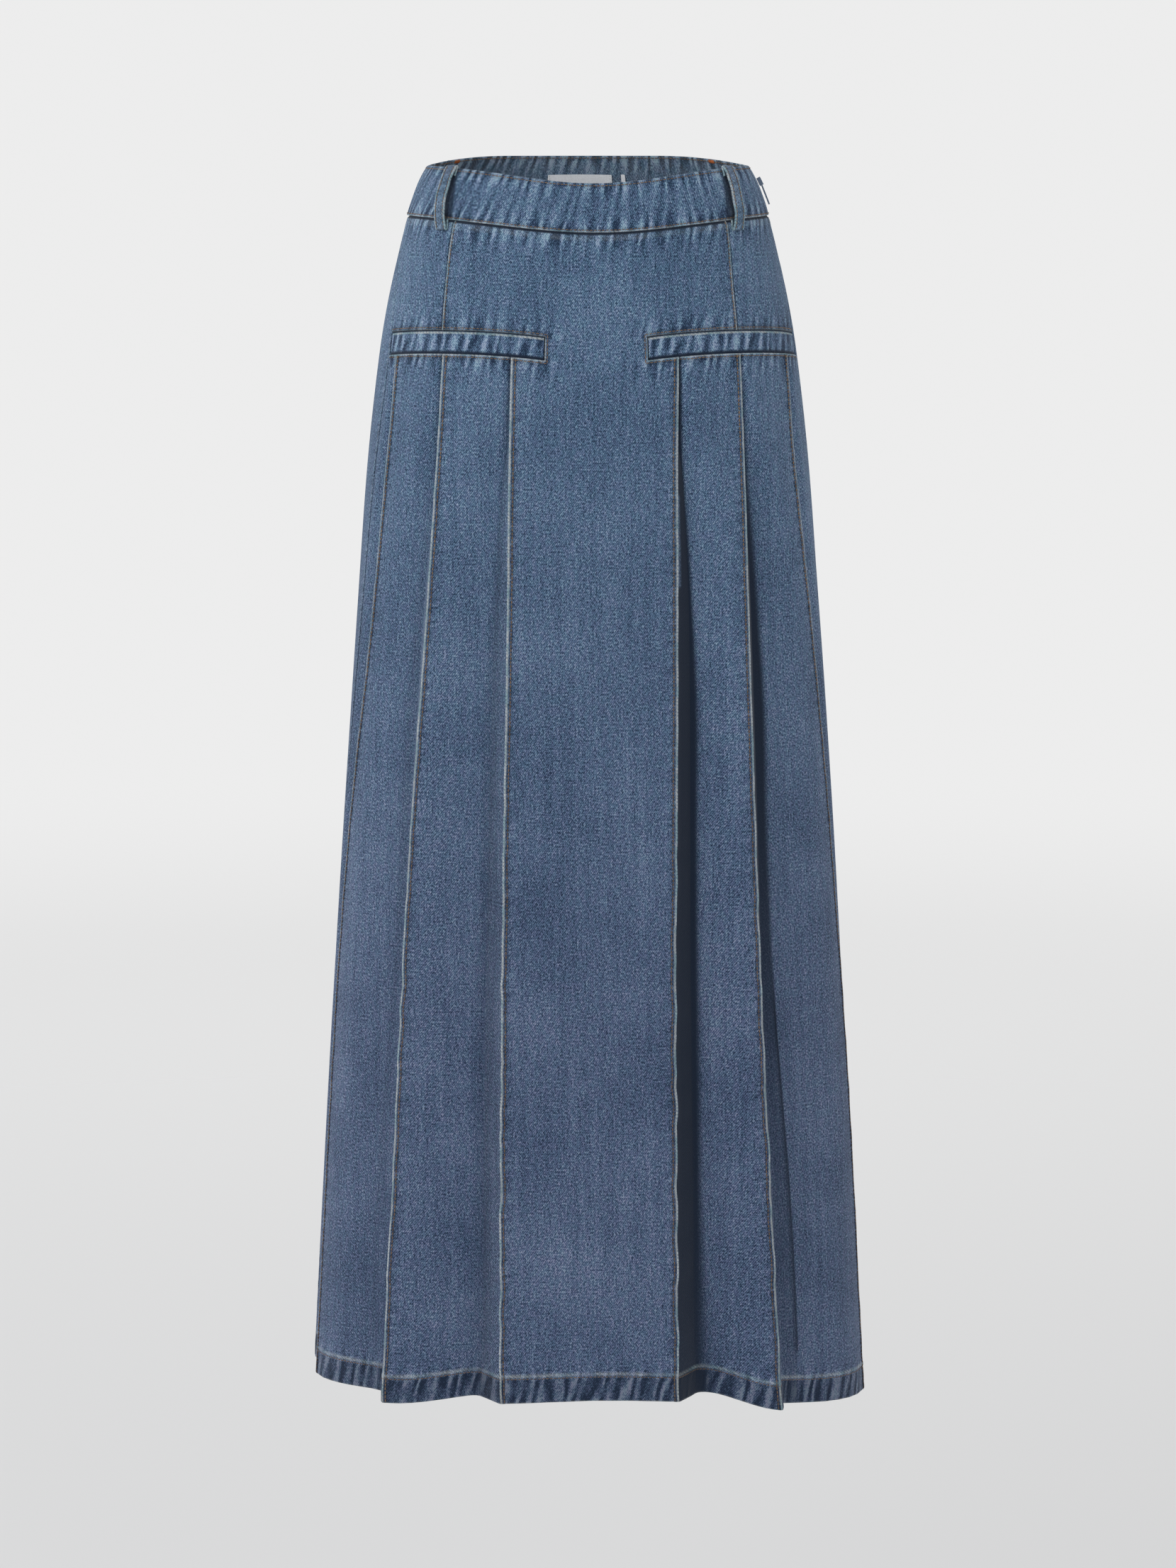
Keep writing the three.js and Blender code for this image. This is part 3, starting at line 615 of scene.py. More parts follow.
class Graph:
    """Short calls for the nodes of one material."""

    def __init__(self, material):
        self.tree = material.node_tree

    def node(self, kind, **settings):
        made = self.tree.nodes.new(kind)
        for key, value in settings.items():
            setattr(made, key, value)
        return made

    def put(self, socket, value):
        if isinstance(value, bpy.types.NodeSocket):
            self.tree.links.new(value, socket)
        else:
            socket.default_value = value

    def math(self, operation, a, b=0.0, c=0.0):
        made = self.node("ShaderNodeMath", operation=operation)
        for socket, value in zip(made.inputs, (a, b, c)):
            self.put(socket, value)
        return made.outputs[0]

    def times(self, a, b):
        return self.math("MULTIPLY", a, b)

    def add(self, value, weight, total):
        return self.math("MULTIPLY_ADD", value, weight, total)

    def split(self, vector):
        made = self.node("ShaderNodeSeparateXYZ")
        self.put(made.inputs[0], vector)
        return made.outputs

    def place(self):
        return self.node("ShaderNodeTexCoord").outputs["Object"]

    def mark(self, name):
        return self.node("ShaderNodeAttribute", attribute_name=name).outputs["Fac"]

    def mix(self, factor, a, b, blend="MIX"):
        made = self.node("ShaderNodeMix", data_type="RGBA", blend_type=blend)
        self.put(made.inputs["Factor"], factor)
        self.put(made.inputs[6], a)
        self.put(made.inputs[7], b)
        return made.outputs[2]

    def noise(self, vector, scale, detail=2.0, roughness=0.5):
        made = self.node("ShaderNodeTexNoise")
        self.put(made.inputs["Vector"], vector)
        self.put(made.inputs["Scale"], scale)
        self.put(made.inputs["Detail"], detail)
        self.put(made.inputs["Roughness"], roughness)
        return made.outputs["Fac"]

    def vector(self, x, y, z=0.0):
        made = self.node("ShaderNodeCombineXYZ")
        for socket, value in zip(made.inputs, (x, y, z)):
            self.put(socket, value)
        return made.outputs[0]

    def remap(self, value, low, high, start=0.0, end=1.0):
        made = self.node("ShaderNodeMapRange")
        for socket, number in zip(made.inputs, (value, low, high, start, end)):
            self.put(socket, number)
        return made.outputs[0]

    def plane_noise(self, x, y, x_scale, y_scale, detail=2.0, roughness=0.5):
        """Noise over a plane, with a scale for each direction."""
        spot = self.vector(self.times(x, x_scale), self.times(y, y_scale))
        return self.noise(spot, 1.0, detail, roughness)

    def bump(self, shader, height, strength, depth):
        """Fine relief of a surface, with its depth in millimetres."""
        made = self.node("ShaderNodeBump")
        made.inputs["Strength"].default_value = strength
        made.inputs["Distance"].default_value = depth * MM
        self.put(made.inputs["Height"], height)
        self.put(shader.inputs["Normal"], made.outputs[0])


# Denim colours: shaded, lit and palest threads, drifts over the skirt, worn edges, painted shade with some
# unfaded dye, inside
DENIM_DARK = (0.0095, 0.023, 0.052, 1)
DENIM_LIGHT = (0.0915, 0.151, 0.254, 1)
DENIM_PALE = (0.264, 0.345, 0.445, 1)
DENIM_LIGHT_AT = 0.62
LOW_TINT = (0.83, 0.74, 0.76, 1)
HIGH_TINT = (0.97, 1.0, 0.975, 1)
TEAL_TINT = (0.94, 1.03, 1.00, 1)
PURPLE_TINT = (1.05, 0.97, 1.01, 1)
WORN = (0.40, 0.43, 0.43, 1)
WORN_TEAL = (0.22, 0.32, 0.34, 1)
SHADE_AND_KEPT_DYE = (0.0085, 0.0155, 0.031, 1)
INSIDE_LIGHT = (0.22, 0.27, 0.34, 1)

# Layers of the weave: width and height of their spots in millimetres, detail, roughness and weight
WEAVE = {
    "thread": (0.7, 1.9, 1.0, 0.5, 0.6),
    "speck": (0.7, 0.7, 2.0, 0.7, 1.0),
    "slub": (1.2, 14.0, 3.0, 0.6, 0.65),
    "fleck": (1.35, 1.5, 1.0, 0.5, 1.7),
    "streak": (6.0, 120.0, 2.0, 0.5, 0.3),
}
CLOUD_SCALE = 14.0
CLOUD_WEIGHT = 0.42
BASE_TONE = 0.45
TWILL_WEIGHT = 0.18
TWILL_PERIOD = 1.3
TWILL_RUN = (0.80, -0.60)
ROPING_WEIGHT = 0.68
PUCKER_WEIGHT = 0.2
HUE_SPOT = (3.5, 8.0)
INSIDE_PALE = 0.75

# Roping: its period in millimetres and slant, and how its phase and strength change along a seam
ROPE_PERIOD = 10.5
ROPE_SLANT = 0.2
ROPE_WANDER = (0.065, 0.015)
ROPE_WANDER_SHIFT = 16.0
ROPE_STRENGTH = (0.13, 0.08)

# The ropy twist of worn edges
TWIST_PERIOD = 2.6
TWIST_LEAN = 0.8


def slanted_patches(graph, along, across):
    """Pale and dark patches in turn along a seam, uneven in width, spacing and strength."""
    line = graph.add(across, -ROPE_SLANT, along)
    wander = graph.plane_noise(line, across, *ROPE_WANDER)
    phase = graph.times(line, 2 * math.pi / ROPE_PERIOD)
    wave = graph.math("SINE", graph.add(wander, ROPE_WANDER_SHIFT, phase))
    strength = graph.plane_noise(line, across, *ROPE_STRENGTH)
    return graph.times(wave, graph.remap(strength, 0.36, 0.62, 0.15, 1.0))


def denim():
    """Indigo twill that reads the marks of its piece: worn, darkened (painted shade, partly unfaded dye),
    roped, puckered and inside.
    """
    material, shader = new_material("denim", (0.1, 0.15, 0.22), 0.9, specular=0.15, sheen=0.08)
    graph = Graph(material)
    across, upwards, _ = graph.split(graph.node("ShaderNodeUVMap", uv_map="cloth").outputs[0])
    u, v = graph.times(across, 1 / MM), graph.times(upwards, 1 / MM)
    place = graph.place()

    # Twill lines that rise to the right, broken up thread by thread
    layers = {
        name: graph.plane_noise(u, v, 1 / wide, 1 / tall, detail, rough)
        for name, (wide, tall, detail, rough, _) in WEAVE.items()
    }
    speck = layers["speck"]
    run = graph.add(u, TWILL_RUN[0], graph.times(v, TWILL_RUN[1]))
    twill = graph.math("SINE", graph.add(run, 2 * math.pi / TWILL_PERIOD, graph.times(speck, 2.2)))
    roping = graph.times(slanted_patches(graph, u, v), graph.mark("roped"))
    puckers = graph.times(slanted_patches(graph, v, u), graph.mark("pucker"))
    weighted = [(layers[name], weight) for name, (*_, weight) in WEAVE.items()]
    weighted.append((graph.noise(place, CLOUD_SCALE, 3.0), CLOUD_WEIGHT))
    tone = graph.add(twill, TWILL_WEIGHT, BASE_TONE)
    for value, weight in weighted:
        tone = graph.add(graph.math("SUBTRACT", value, 0.5), weight, tone)
    tone = graph.add(roping, ROPING_WEIGHT, tone)
    tone = graph.add(puckers, PUCKER_WEIGHT, tone)

    ramp = graph.node("ShaderNodeValToRGB")
    stops = ramp.color_ramp.elements
    stops[0].color = DENIM_DARK
    stops[1].color = DENIM_PALE
    middle = stops.new(DENIM_LIGHT_AT)
    middle.color = DENIM_LIGHT
    graph.put(ramp.inputs[0], tone)
    height = graph.split(place)[2]
    drift = graph.mix(graph.remap(height, -0.62, -0.05), LOW_TINT, HIGH_TINT)
    colour = graph.mix(1.0, ramp.outputs[0], drift, "MULTIPLY")
    hue = graph.plane_noise(u, v, 1 / HUE_SPOT[0], 1 / HUE_SPOT[1])
    tint = graph.mix(graph.remap(hue, 0.38, 0.62), TEAL_TINT, PURPLE_TINT)
    colour = graph.mix(1.0, colour, tint, "MULTIPLY")

    # Painted shade (partly unfaded dye) in folds and gaps, darker seams, and edges that are worn pale
    shade_and_dye = graph.times(graph.mark("dark"), graph.remap(speck, 0.3, 0.75, 1.08, 0.92))
    colour = graph.mix(shade_and_dye, colour, SHADE_AND_KEPT_DYE)
    worn_colour = graph.mix(graph.remap(graph.noise(place, 90.0, 2.0), 0.45, 0.6), WORN, WORN_TEAL)
    grain = graph.remap(graph.math("ADD", layers["thread"], speck), 0.75, 1.25, 0.4, 1.1)
    lay = graph.add(u, TWIST_LEAN, v)
    turn = graph.math("SINE", graph.add(lay, 2 * math.pi / TWIST_PERIOD, graph.times(speck, 3.0)))
    twist = graph.remap(turn, -1.0, 1.0, 0.6, 1.2)
    worn = graph.times(graph.times(graph.mark("wear"), grain), twist)
    colour = graph.mix(graph.math("MINIMUM", worn, 1.0), colour, worn_colour)
    reverse = graph.mix(graph.remap(tone, 0.2, 0.8, 0.3, 0.85), colour, INSIDE_LIGHT)
    colour = graph.mix(graph.times(graph.mark("inside"), INSIDE_PALE), colour, reverse)
    graph.put(shader.inputs["Base Color"], colour)

    relief = graph.add(twill, 0.3, graph.add(speck, 0.9, layers["slub"]))
    relief = graph.add(roping, 1.6, relief)
    graph.bump(shader, graph.add(puckers, 1.2, relief), strength=0.7, depth=0.22)
    return material


def thread(name, base, spread, low=(1, 1, 1)):
    """Sewing thread whose colour fades unevenly along the seam, and is darker towards the hem."""
    material, shader = new_material(name, base, 0.75, specular=0.25, sheen=0.1)
    graph = Graph(material)
    place = graph.place()
    fade = graph.noise(place, 70.0, 3.0, 0.7)
    darker = tuple(c * (1 - spread) for c in base)
    paler = tuple(min(c * (1 + spread), 1) for c in base)
    colour = graph.mix(graph.remap(fade, 0.3, 0.7), (*darker, 1), (*paler, 1))
    height = graph.remap(graph.split(place)[2], -0.5, -0.2)
    colour = graph.mix(1.0, colour, graph.mix(height, (*low, 1), (1, 1, 1, 1)), "MULTIPLY")
    graph.put(shader.inputs["Base Color"], colour)
    graph.bump(shader, graph.noise(place, 2400.0, 1.0), strength=0.5, depth=0.1)
    return material


def woven(name, base, roughness, rib):
    """A plain woven tape with ribs across it."""
    material, shader = new_material(name, base, roughness, specular=0.35, sheen=0.2)
    graph = Graph(material)
    place = graph.place()
    ribs = graph.math("SINE", graph.times(graph.split(place)[2], 2 * math.pi / (rib * MM)))
    weave = graph.add(ribs, 0.12, graph.noise(place, 900.0, 2.0))
    darker = tuple(c * 0.86 for c in base)
    colour = graph.mix(graph.remap(weave, 0.3, 0.7), (*darker, 1), (*base, 1))
    graph.put(shader.inputs["Base Color"], colour)
    graph.bump(shader, weave, strength=0.4, depth=0.1)
    return material


ENAMEL = (0.10, 0.14, 0.20)
BARE_METAL = (0.34, 0.36, 0.38)


def enamel():
    """Painted zip metal, rubbed bare in places."""
    material, shader = new_material("zip_enamel", ENAMEL, 0.35, specular=0.5)
    graph = Graph(material)
    rub = graph.remap(graph.noise(graph.place(), 420.0, 4.0, 0.7), 0.62, 0.74)
    graph.put(shader.inputs["Base Color"], graph.mix(rub, (*ENAMEL, 1), (*BARE_METAL, 1)))
    graph.put(shader.inputs["Roughness"], graph.remap(rub, 0.0, 1.0, 0.32, 0.5))
    return material


DENIM = denim()
GOLD_THREAD = thread("gold_thread", (0.165, 0.105, 0.06), 0.5, low=(0.75, 0.75, 0.85))
ORANGE_THREAD = thread("orange_thread", (0.36, 0.105, 0.03), 0.4)
PALE_THREAD = thread("pale_thread", (0.45, 0.45, 0.46), 0.1)
LABEL_CLOTH = woven("label_satin", (0.88, 0.90, 0.93), 0.55, 0.5)
TAPE_CLOTH = woven("zip_tape_weave", (0.035, 0.05, 0.085), 0.8, 0.7)
ZIP_ENAMEL = enamel()


# Front panel: centre, neck between the pockets, and pleated lower part

EDGE_COLUMNS = (3.6, 2.6, TOPSTITCH, 1.2, 0.6, 0.25, 0.0)
CENTRE_STEPS = 10
WING_STEPS = 21
WING = WING_STEPS + len(EDGE_COLUMNS)
TUCK_STEPS = 6
RIDGE_COLUMNS = (5.0, 3.6, 2.9, EDGE_STITCH, 1.9, 1.4, 0.9, 0.45)
CREST_STEPS = 5
RETURN_STEPS = 2
VALLEY_STEPS = 3
SHADE_STEPS = 4
LIT_STEPS = 5
PANEL_STEPS = 2 * SHADE_STEPS + LIT_STEPS
LAST_PANEL_STEPS = 10
PLEAT_TEXTURE_STEP = 300


def wobble(z, seed):
    """Sideways wander of a stitched ridge, which grows towards the hem, in millimetres."""
    growth = 0.15 + 0.75 * smooth_step((-z - 330) / 330)
    return growth * (0.7 * noise(z / 19.0, seed) + 0.5 * noise(z / 9.5, seed + 3))


def ridge_rise(before, z, seed):
    """How far the cloth stands up at a distance before a fold edge."""
    full = RIDGE_RISE * (1 + 0.22 * noise(z / 12.0, seed + 7))
    return full * smooth_step((RIDGE_WIDTH - before) / RIDGE_SLOPE)


def pleat_section(pleat, z, panel_length, flat_end, is_last, seed):
    """One pleat's cross section: distance past the fold edge, depth, direction and ridge distance."""
    reach = float(curve(PLEAT_OPENING, f"reach{pleat}", "z", z))
    drop = float(curve(PLEAT_OPENING, f"drop{pleat}", "z", z))
    edge_radius = float(curve(PLEAT_OPENING, "edge", "z", z))
    valley_radius = max(LEAST_FOLD_RADIUS, float(curve(PLEAT_OPENING, "valley", "z", z)) * drop)
    edge_depth = CLOTH / 2 + edge_radius
    valley_depth = drop - valley_radius
    length = math.hypot(reach, valley_depth - edge_depth)
    heading = math.atan2(valley_depth - edge_depth, reach)
    turn = heading + math.asin((edge_radius + valley_radius) / length)

    arc = turn * np.linspace(0, 1, CREST_STEPS + 1) ** 1.3
    rise = ridge_rise(0.0, z, seed) * (1 - smooth_step(arc * edge_radius / RIDGE_FADE))
    crest = np.stack([
        (edge_radius + rise) * np.sin(arc),
        edge_depth - (edge_radius + rise) * np.cos(arc),
        arc,
        -arc * edge_radius,
    ])
    bend = turn * np.linspace(1, 0, VALLEY_STEPS + 1)
    valley = np.stack([
        reach - valley_radius * np.sin(bend),
        valley_depth + valley_radius * np.cos(bend),
        bend,
        np.full_like(bend, -RIDGE_WIDTH * 2),
    ])
    steps = np.arange(1, RETURN_STEPS + 1) / (RETURN_STEPS + 1)
    back = crest[:, -1:] + (valley[:, :1] - crest[:, -1:]) * steps

    if is_last:
        along = mix(reach, panel_length, np.arange(1, LAST_PANEL_STEPS + 1) / LAST_PANEL_STEPS)
        before = np.full_like(along, FAR)
    else:
        width, soft = (float(curve(FOLD_SHADE, f"{key}{pleat}", "z", z)) for key in ("width", "soft"))
        shaded = max(width - soft, reach + 1.5)
        lit = max(width + soft, shaded + 3, TIGHT_RISE + 1)
        end = panel_length - RIDGE_COLUMNS[0]
        main = np.r_[
            mix(reach, shaded, np.arange(1, SHADE_STEPS + 1) / SHADE_STEPS),
            mix(shaded, lit, np.arange(1, SHADE_STEPS + 1) / SHADE_STEPS),
            mix(lit, end, np.arange(1, LIT_STEPS + 1) / (LIT_STEPS + 1)),
        ]
        along = np.r_[main, panel_length - np.array(RIDGE_COLUMNS)]
        before = panel_length - along
    start, end = max(reach, 0), panel_length - flat_end
    opened = smooth_step((-z - OPEN_RISE_FROM) / OPEN_RISE_OVER)
    end = mix(min(end, start + TIGHT_RISE), end, opened)
    t = np.clip((along - start) / (end - start), 0, 1)
    fall = drop - CLOTH / 2
    run = np.arctan(-fall * 6 * t * (1 - t) / (end - start))
    panel = np.stack([along, drop - fall * smooth_step(t), run, before])
    return np.hstack([crest, back, valley, panel])


SEEDS = {
    ("right", 1): 3, ("right", 2): 17, ("right", 3): 29,
    ("left", 1): 41, ("left", 2): 53, ("left", 3): 67,
}
EDGE_AT_POCKET = {
    side: abs(float(curve(FOLD_EDGES, f"{side}1", "z", lower_height(0, 0.0)))) for side in ("left", "right")
}


def centre_places():
    """Centre columns: the share of even steps, and the distance before the pocket's inner end."""
    even = [(k / CENTRE_STEPS, EDGE_COLUMNS[0] * k / CENTRE_STEPS) for k in range(CENTRE_STEPS)]
    return np.array(even + [(1.0, before) for before in EDGE_COLUMNS])


CENTRE_PLACES = centre_places()
POCKET_EDGE_DEGREES = float(degrees_per_mm(POCKET_INNER_BEARING, POCKET_TOP))
CENTRE_BEARINGS = POCKET_INNER_BEARING * CENTRE_PLACES[:, 0] - POCKET_EDGE_DEGREES * CENTRE_PLACES[:, 1]


def lower_side(side, row):
    """One row of one side of the lower front.

    Bearings and depths of the outer and the inner face, distances before the next fold edge, the painted
    shade in the folds (partly unfaded dye), and the pleats' own texture coordinate, which follows their
    fold edges.
    """
    sign = 1 if side == "left" else -1
    z = float(lower_height(row, 0.0))
    extra = float(hem_extra(z - HEM_BOTTOM))
    seam = sign * float(seam_bearing(side, lambda b: lower_height(row, b)))
    edges = [sign * float(curve(FOLD_EDGES, f"{side}{p}", "z", z)) for p in PLEATS]
    first = edges[0]
    scale = first / EDGE_AT_POCKET[side]
    per_mm = float(degrees_per_mm(first, z))
    before_edge = np.r_[
        mix((first - CENTRE_BEARINGS[-1] * scale) / per_mm, RIDGE_COLUMNS[0],
            np.arange(1, TUCK_STEPS + 1) / (TUCK_STEPS + 1)),
        RIDGE_COLUMNS,
    ]
    wander = wobble(z, SEEDS[side, 1])
    near = within(before_edge, WANDER_REACH, WANDER_SOFT) * wander
    bearing = np.r_[CENTRE_BEARINGS * scale, first - (before_edge - near) * per_mm]
    before = np.r_[(first - CENTRE_BEARINGS * scale) / per_mm, before_edge]
    depth = -ridge_rise(before, z, SEEDS[side, 1])
    outer_b, outer_d, inner_b, inner_d = [bearing], [depth], [bearing], [depth + CLOTH + extra]
    ridge = [before]
    shade = [0 * before]
    flat = [np.full_like(before, np.nan)]
    for pleat, edge in zip(PLEATS, edges):
        is_last = pleat == PLEATS[-1]
        goal = seam if is_last else edges[pleat]
        per_mm = float(degrees_per_mm((edge + goal) / 2, z))
        length = (goal - edge) / per_mm - (SEAM_GAP / 2 if is_last else 0)
        next_reach = 0 if is_last else float(curve(PLEAT_OPENING, f"reach{pleat + 1}", "z", z))
        flat_end = SEAM_MARGIN[side] if is_last else max(-next_reach, 0) + HIDDEN_MARGIN
        seed = SEEDS[side, pleat]
        along, deep, run, far = pleat_section(pleat, z, length, flat_end, is_last, seed)
        here = wobble(z, seed) * (far < 0) * (far > -RIDGE_WIDTH * 1.9)
        if not is_last:
            next_seed = SEEDS[side, pleat + 1]
            nearby = within(far, WANDER_REACH, WANDER_SOFT) * (far > 0)
            here = here + nearby * wobble(z, next_seed)
            deep = deep - ridge_rise(far, z, next_seed) * (far > 0)
        shift_along, shift_deep = np.sin(run), np.cos(run)
        outer_b.append(edge + per_mm * (along + here + shift_along * CLOTH / 2))
        outer_d.append(deep - shift_deep * CLOTH / 2)
        thick = CLOTH / 2 + extra
        inner_b.append(edge + per_mm * (along + here - shift_along * thick))
        inner_d.append(deep + shift_deep * thick)
        ridge.append(far)
        # Painted shade in the fold, standing in for the shadow under the fold edge, partly unfaded dye; the
        # second pleat also gets a painted dark crease line
        shading = (f"{key}{pleat}" for key in ("width", "soft", "dark"))
        width, soft, dark = (float(curve(FOLD_SHADE, key, "z", z)) for key in shading)
        fold = (np.arange(len(along)) > CREST_STEPS) | (far < -CREST_WIDTH)
        strip = dark * smooth_step((width - along) / (2 * soft) + 0.5)
        if pleat == 2:
            shown = within(z, CREASE_FROM, CREASE_FADE) * smooth_step((z - CREASE_TO) / CREASE_END)
            strip = strip + CREASE_STRENGTH * shown * around(along, width, CREASE_WIDTH)
        shade.append(FOLD_SHADE_SHARE[side] * strip * fold)
        flat.append(pleat * PLEAT_TEXTURE_STEP + along)
    return (
        sign * np.concatenate(outer_b), np.concatenate(outer_d),
        sign * np.concatenate(inner_b), np.concatenate(inner_d),
        np.concatenate(ridge), np.concatenate(shade), sign * np.concatenate(flat),
    )


def softness(bearing, z, seed):
    """Soft uneven hollows of hanging cloth, stronger towards the hem."""
    growth = mix(0.35, 1.5, smooth_step((-z - 150) / 700))
    wide = noise_2d(bearing / 13.0, z / 330.0, seed)
    narrow = noise_2d(bearing / 5.0, z / 170.0, seed + 5)
    return growth * (0.8 * wide + 0.35 * narrow)


def beside(distance, reach):
    """How strongly a stitched edge puckers the cloth at a distance from it."""
    return np.exp(-((np.maximum(distance, 0) / reach) ** 1.6)) * (distance > -1)


def cloth_marks(wear, dark, roped, pucker):
    """Marks that the denim reads: worn, darkened (painted shade, partly unfaded dye), and roped along level
    and upright seams.
    """
    return {
        "wear": np.clip(wear, 0, 1), "dark": np.clip(dark, 0, 1),
        "roped": np.clip(roped, 0, 1.6), "pucker": np.clip(pucker, 0, 1),
    }


def waist_edge(below):
    """The cloth under the waist seam: how worn it is, its painted shadow under the band's edge, how roped
    it is, and its relief.
    """
    relief = within(below, 1.8, 1.6) - 0.35 * around(below, 4.0, 2.2)
    return 0.22 * around(below, 3.6, 1.6), within(below, 2.2, 0.8), beside(below, 12.0), relief


def hem_edge(above, u, height, seed):
    """The turned-up hem and its stitched line: how worn, darkened and roped, and the relief."""
    in_hem = within(above, HEM_STITCH + 0.2, 0.8)
    wear = 0.8 * around(above, HEM_WEAR, 0.9) * (0.65 + 0.35 * noise(u / 6.0, 7))
    wear += 0.35 * within(above, 1.1, 0.7) * (0.6 + 0.4 * noise(u / 4.0, 9))
    roped = 1.1 * in_hem + 0.5 * beside(above - 19.0, 6.0) * (above > HEM_STITCH + 0.2)
    relief = 0.3 * noise_2d((u - 0.3 * height) / 12.0, height / 30.0, seed) * in_hem
    relief += 0.3 * around(above, HEM_STITCH, 0.8) + 0.6 * within(above, 0.9, 0.9)
    return wear, 0.42 * in_hem, roped, relief


def front_panel():
    lower_rows = range(len(LOWER_PLAN))
    lower = {side: [lower_side(side, row) for row in lower_rows] for side in ("left", "right")}
    side_columns = len(lower["left"][0][0])
    columns = 2 * side_columns - 1
    middle = side_columns - 1
    rows = len(UPPER_PLAN) + len(NECK_PLAN) - 2 + len(LOWER_PLAN)
    first_lower = rows - len(LOWER_PLAN)
    last_upper = len(UPPER_PLAN) - 1

    shape = (columns, rows)
    bearing = {face: np.zeros(shape) for face in ("outer", "inner")}
    depth = {"outer": np.zeros(shape), "inner": np.full(shape, CLOTH)}
    height = np.zeros(shape)
    ridge = np.full(shape, FAR)
    shade = np.zeros(shape)
    flat = np.full(shape, np.nan)
    princess_distance = np.full(shape, FAR)

    for side, sign in (("right", -1), ("left", 1)):
        places = middle + sign * np.arange(side_columns)
        for row, data in enumerate(lower[side]):
            j = first_lower + row
            for face, b, d in (("outer", data[0], data[1]), ("inner", data[2], data[3])):
                bearing[face][places, j] = b
                depth[face][places, j] = d
            ridge[places, j] = data[4]
            shade[places, j] = data[5]
            flat[places, j] = data[6]
            height[places, j] = lower_height(row, bearing["outer"][places, j])
        for row in range(len(UPPER_PLAN)):
            edge = curve(PRINCESS_SEAMS, side, "z", POCKET_TOP)
            nominal = upper_height(row, edge)
            princess = abs(float(curve(PRINCESS_SEAMS, side, "z", nominal)))
            per_mm = float(degrees_per_mm(princess, nominal))
            end = princess - SEAM_GAP / 2 * per_mm
            near_seam = end - np.array(EDGE_COLUMNS) * per_mm
            even = np.linspace(CENTRE_BEARINGS[-1], near_seam[0], WING_STEPS + 2)[1:-1]
            line = np.r_[CENTRE_BEARINGS, even, near_seam]
            spots = places[: len(line)]
            for face in ("outer", "inner"):
                bearing[face][spots, row] = sign * line
            height[spots, row] = upper_height(row, sign * line)
            princess_distance[spots, row] = (end - line) / per_mm
        for row in range(1, len(NECK_PLAN) - 1):
            j = last_upper + row
            spots = places[: len(CENTRE_BEARINGS)]
            for face in ("outer", "inner"):
                bearing[face][spots, j] = sign * CENTRE_BEARINGS
            line = sign * CENTRE_BEARINGS
            height[spots, j] = plan_height(NECK_PLAN, row, pocket_top(line), pocket_bottom(line))

    cells_i, cells_j = np.meshgrid(np.arange(columns - 1), np.arange(rows - 1), indexing="ij")
    reach = np.maximum(np.abs(cells_i - middle), np.abs(cells_i + 1 - middle))
    has = np.where(cells_j < last_upper, reach <= len(CENTRE_BEARINGS) - 1 + WING,
                   (cells_j >= first_lower) | (reach <= len(CENTRE_BEARINGS) - 1))

    b = bearing["outer"]
    base = wall_point(b, height, depth["outer"])
    uv = texture_grid(base, middle)
    u = uv[..., 0] = np.where(np.isnan(flat), uv[..., 0], flat)

    # Fold edges: a worn crest, dye along the stitches, and painted shade in the folds, partly unfaded dye
    is_lower = np.arange(rows)[None, :] >= first_lower
    is_upper = np.arange(rows)[None, :] <= last_upper
    wear = within(ridge, 0.95, 0.4) * smooth_step((ridge + CREST_WIDTH) / 0.35) * is_lower
    dark = 0.42 * within(ridge, 3.7, 0.7) * smooth_step((ridge - 0.6) / 0.5) * is_lower
    dark += shade * is_lower
    pucker = beside(ridge, 7.0) * is_lower * (ridge > 0)
    relief = softness(b, height, 11) + 0.3 * around(ridge, EDGE_STITCH, 0.8) * is_lower
    relief += 0.16 * rope(height, ridge, 11.0, 31) * pucker

    # Waist seam, with painted shadow under the band's edge
    waist_wear, waist_shadow, waist_roped, waist_relief = waist_edge(band_seam(b) - height)
    roped = waist_roped * is_upper
    wear += waist_wear * is_upper
    dark += waist_shadow * is_upper
    relief += waist_relief * is_upper

    # Pocket windows
    inner_end = (CENTRE_BEARINGS[-1] - np.abs(b)) / POCKET_EDGE_DEGREES
    above = np.hypot(height - pocket_top(b), np.maximum(inner_end, 0))
    below = np.hypot(pocket_bottom(b) - height, np.maximum(inner_end, 0))
    roped += 0.8 * beside(above, 11.0) * is_upper
    roped += 0.9 * beside(below, 12.0) * (is_lower & (ridge > 0))
    to_window = np.minimum(np.where(is_upper, above, FAR), np.where(is_lower, below, FAR))
    to_window = np.minimum(to_window, np.where(is_upper | is_lower, FAR, inner_end))
    at_edge = within(to_window, 1.1, 0.4)
    wear += np.where(is_upper, 0.25, 0.8) * at_edge
    # Painted shadow along the window's upper edge, over the gap to the welt, and darker along the stitch
    # lines
    dark += 0.75 * at_edge * is_upper + 0.42 * around(to_window, 2.2, 0.9)
    relief += 0.9 * within(to_window, 0.5, 0.5) - 0.45 * within(to_window, 2.4, 1.4)

    # Princess seams
    wear += 0.95 * within(princess_distance, 1.4, 0.4)
    dark += 0.4 * around(princess_distance, 2.1, 0.9)
    relief += 0.8 * within(princess_distance, 0.4, 0.4) - 0.3 * within(princess_distance, 2.2, 1.2)
    pucker += 0.8 * beside(princess_distance, 8.0)
    relief += 0.15 * rope(height, princess_distance, 10.0, 97) * beside(princess_distance, 6.0)

    # Hem
    above_hem = height - hem_line(b)
    hem_wear, hem_dark, hem_roped, hem_relief = hem_edge(above_hem, u, height, 101)
    wear += hem_wear * is_lower
    dark += hem_dark * is_lower
    roped += hem_roped * is_lower
    relief += (hem_relief - 0.25 * around(above_hem, HEM_WEAR, 1.2)) * is_lower
    relief[[0, -1]] += 0.5 * is_lower

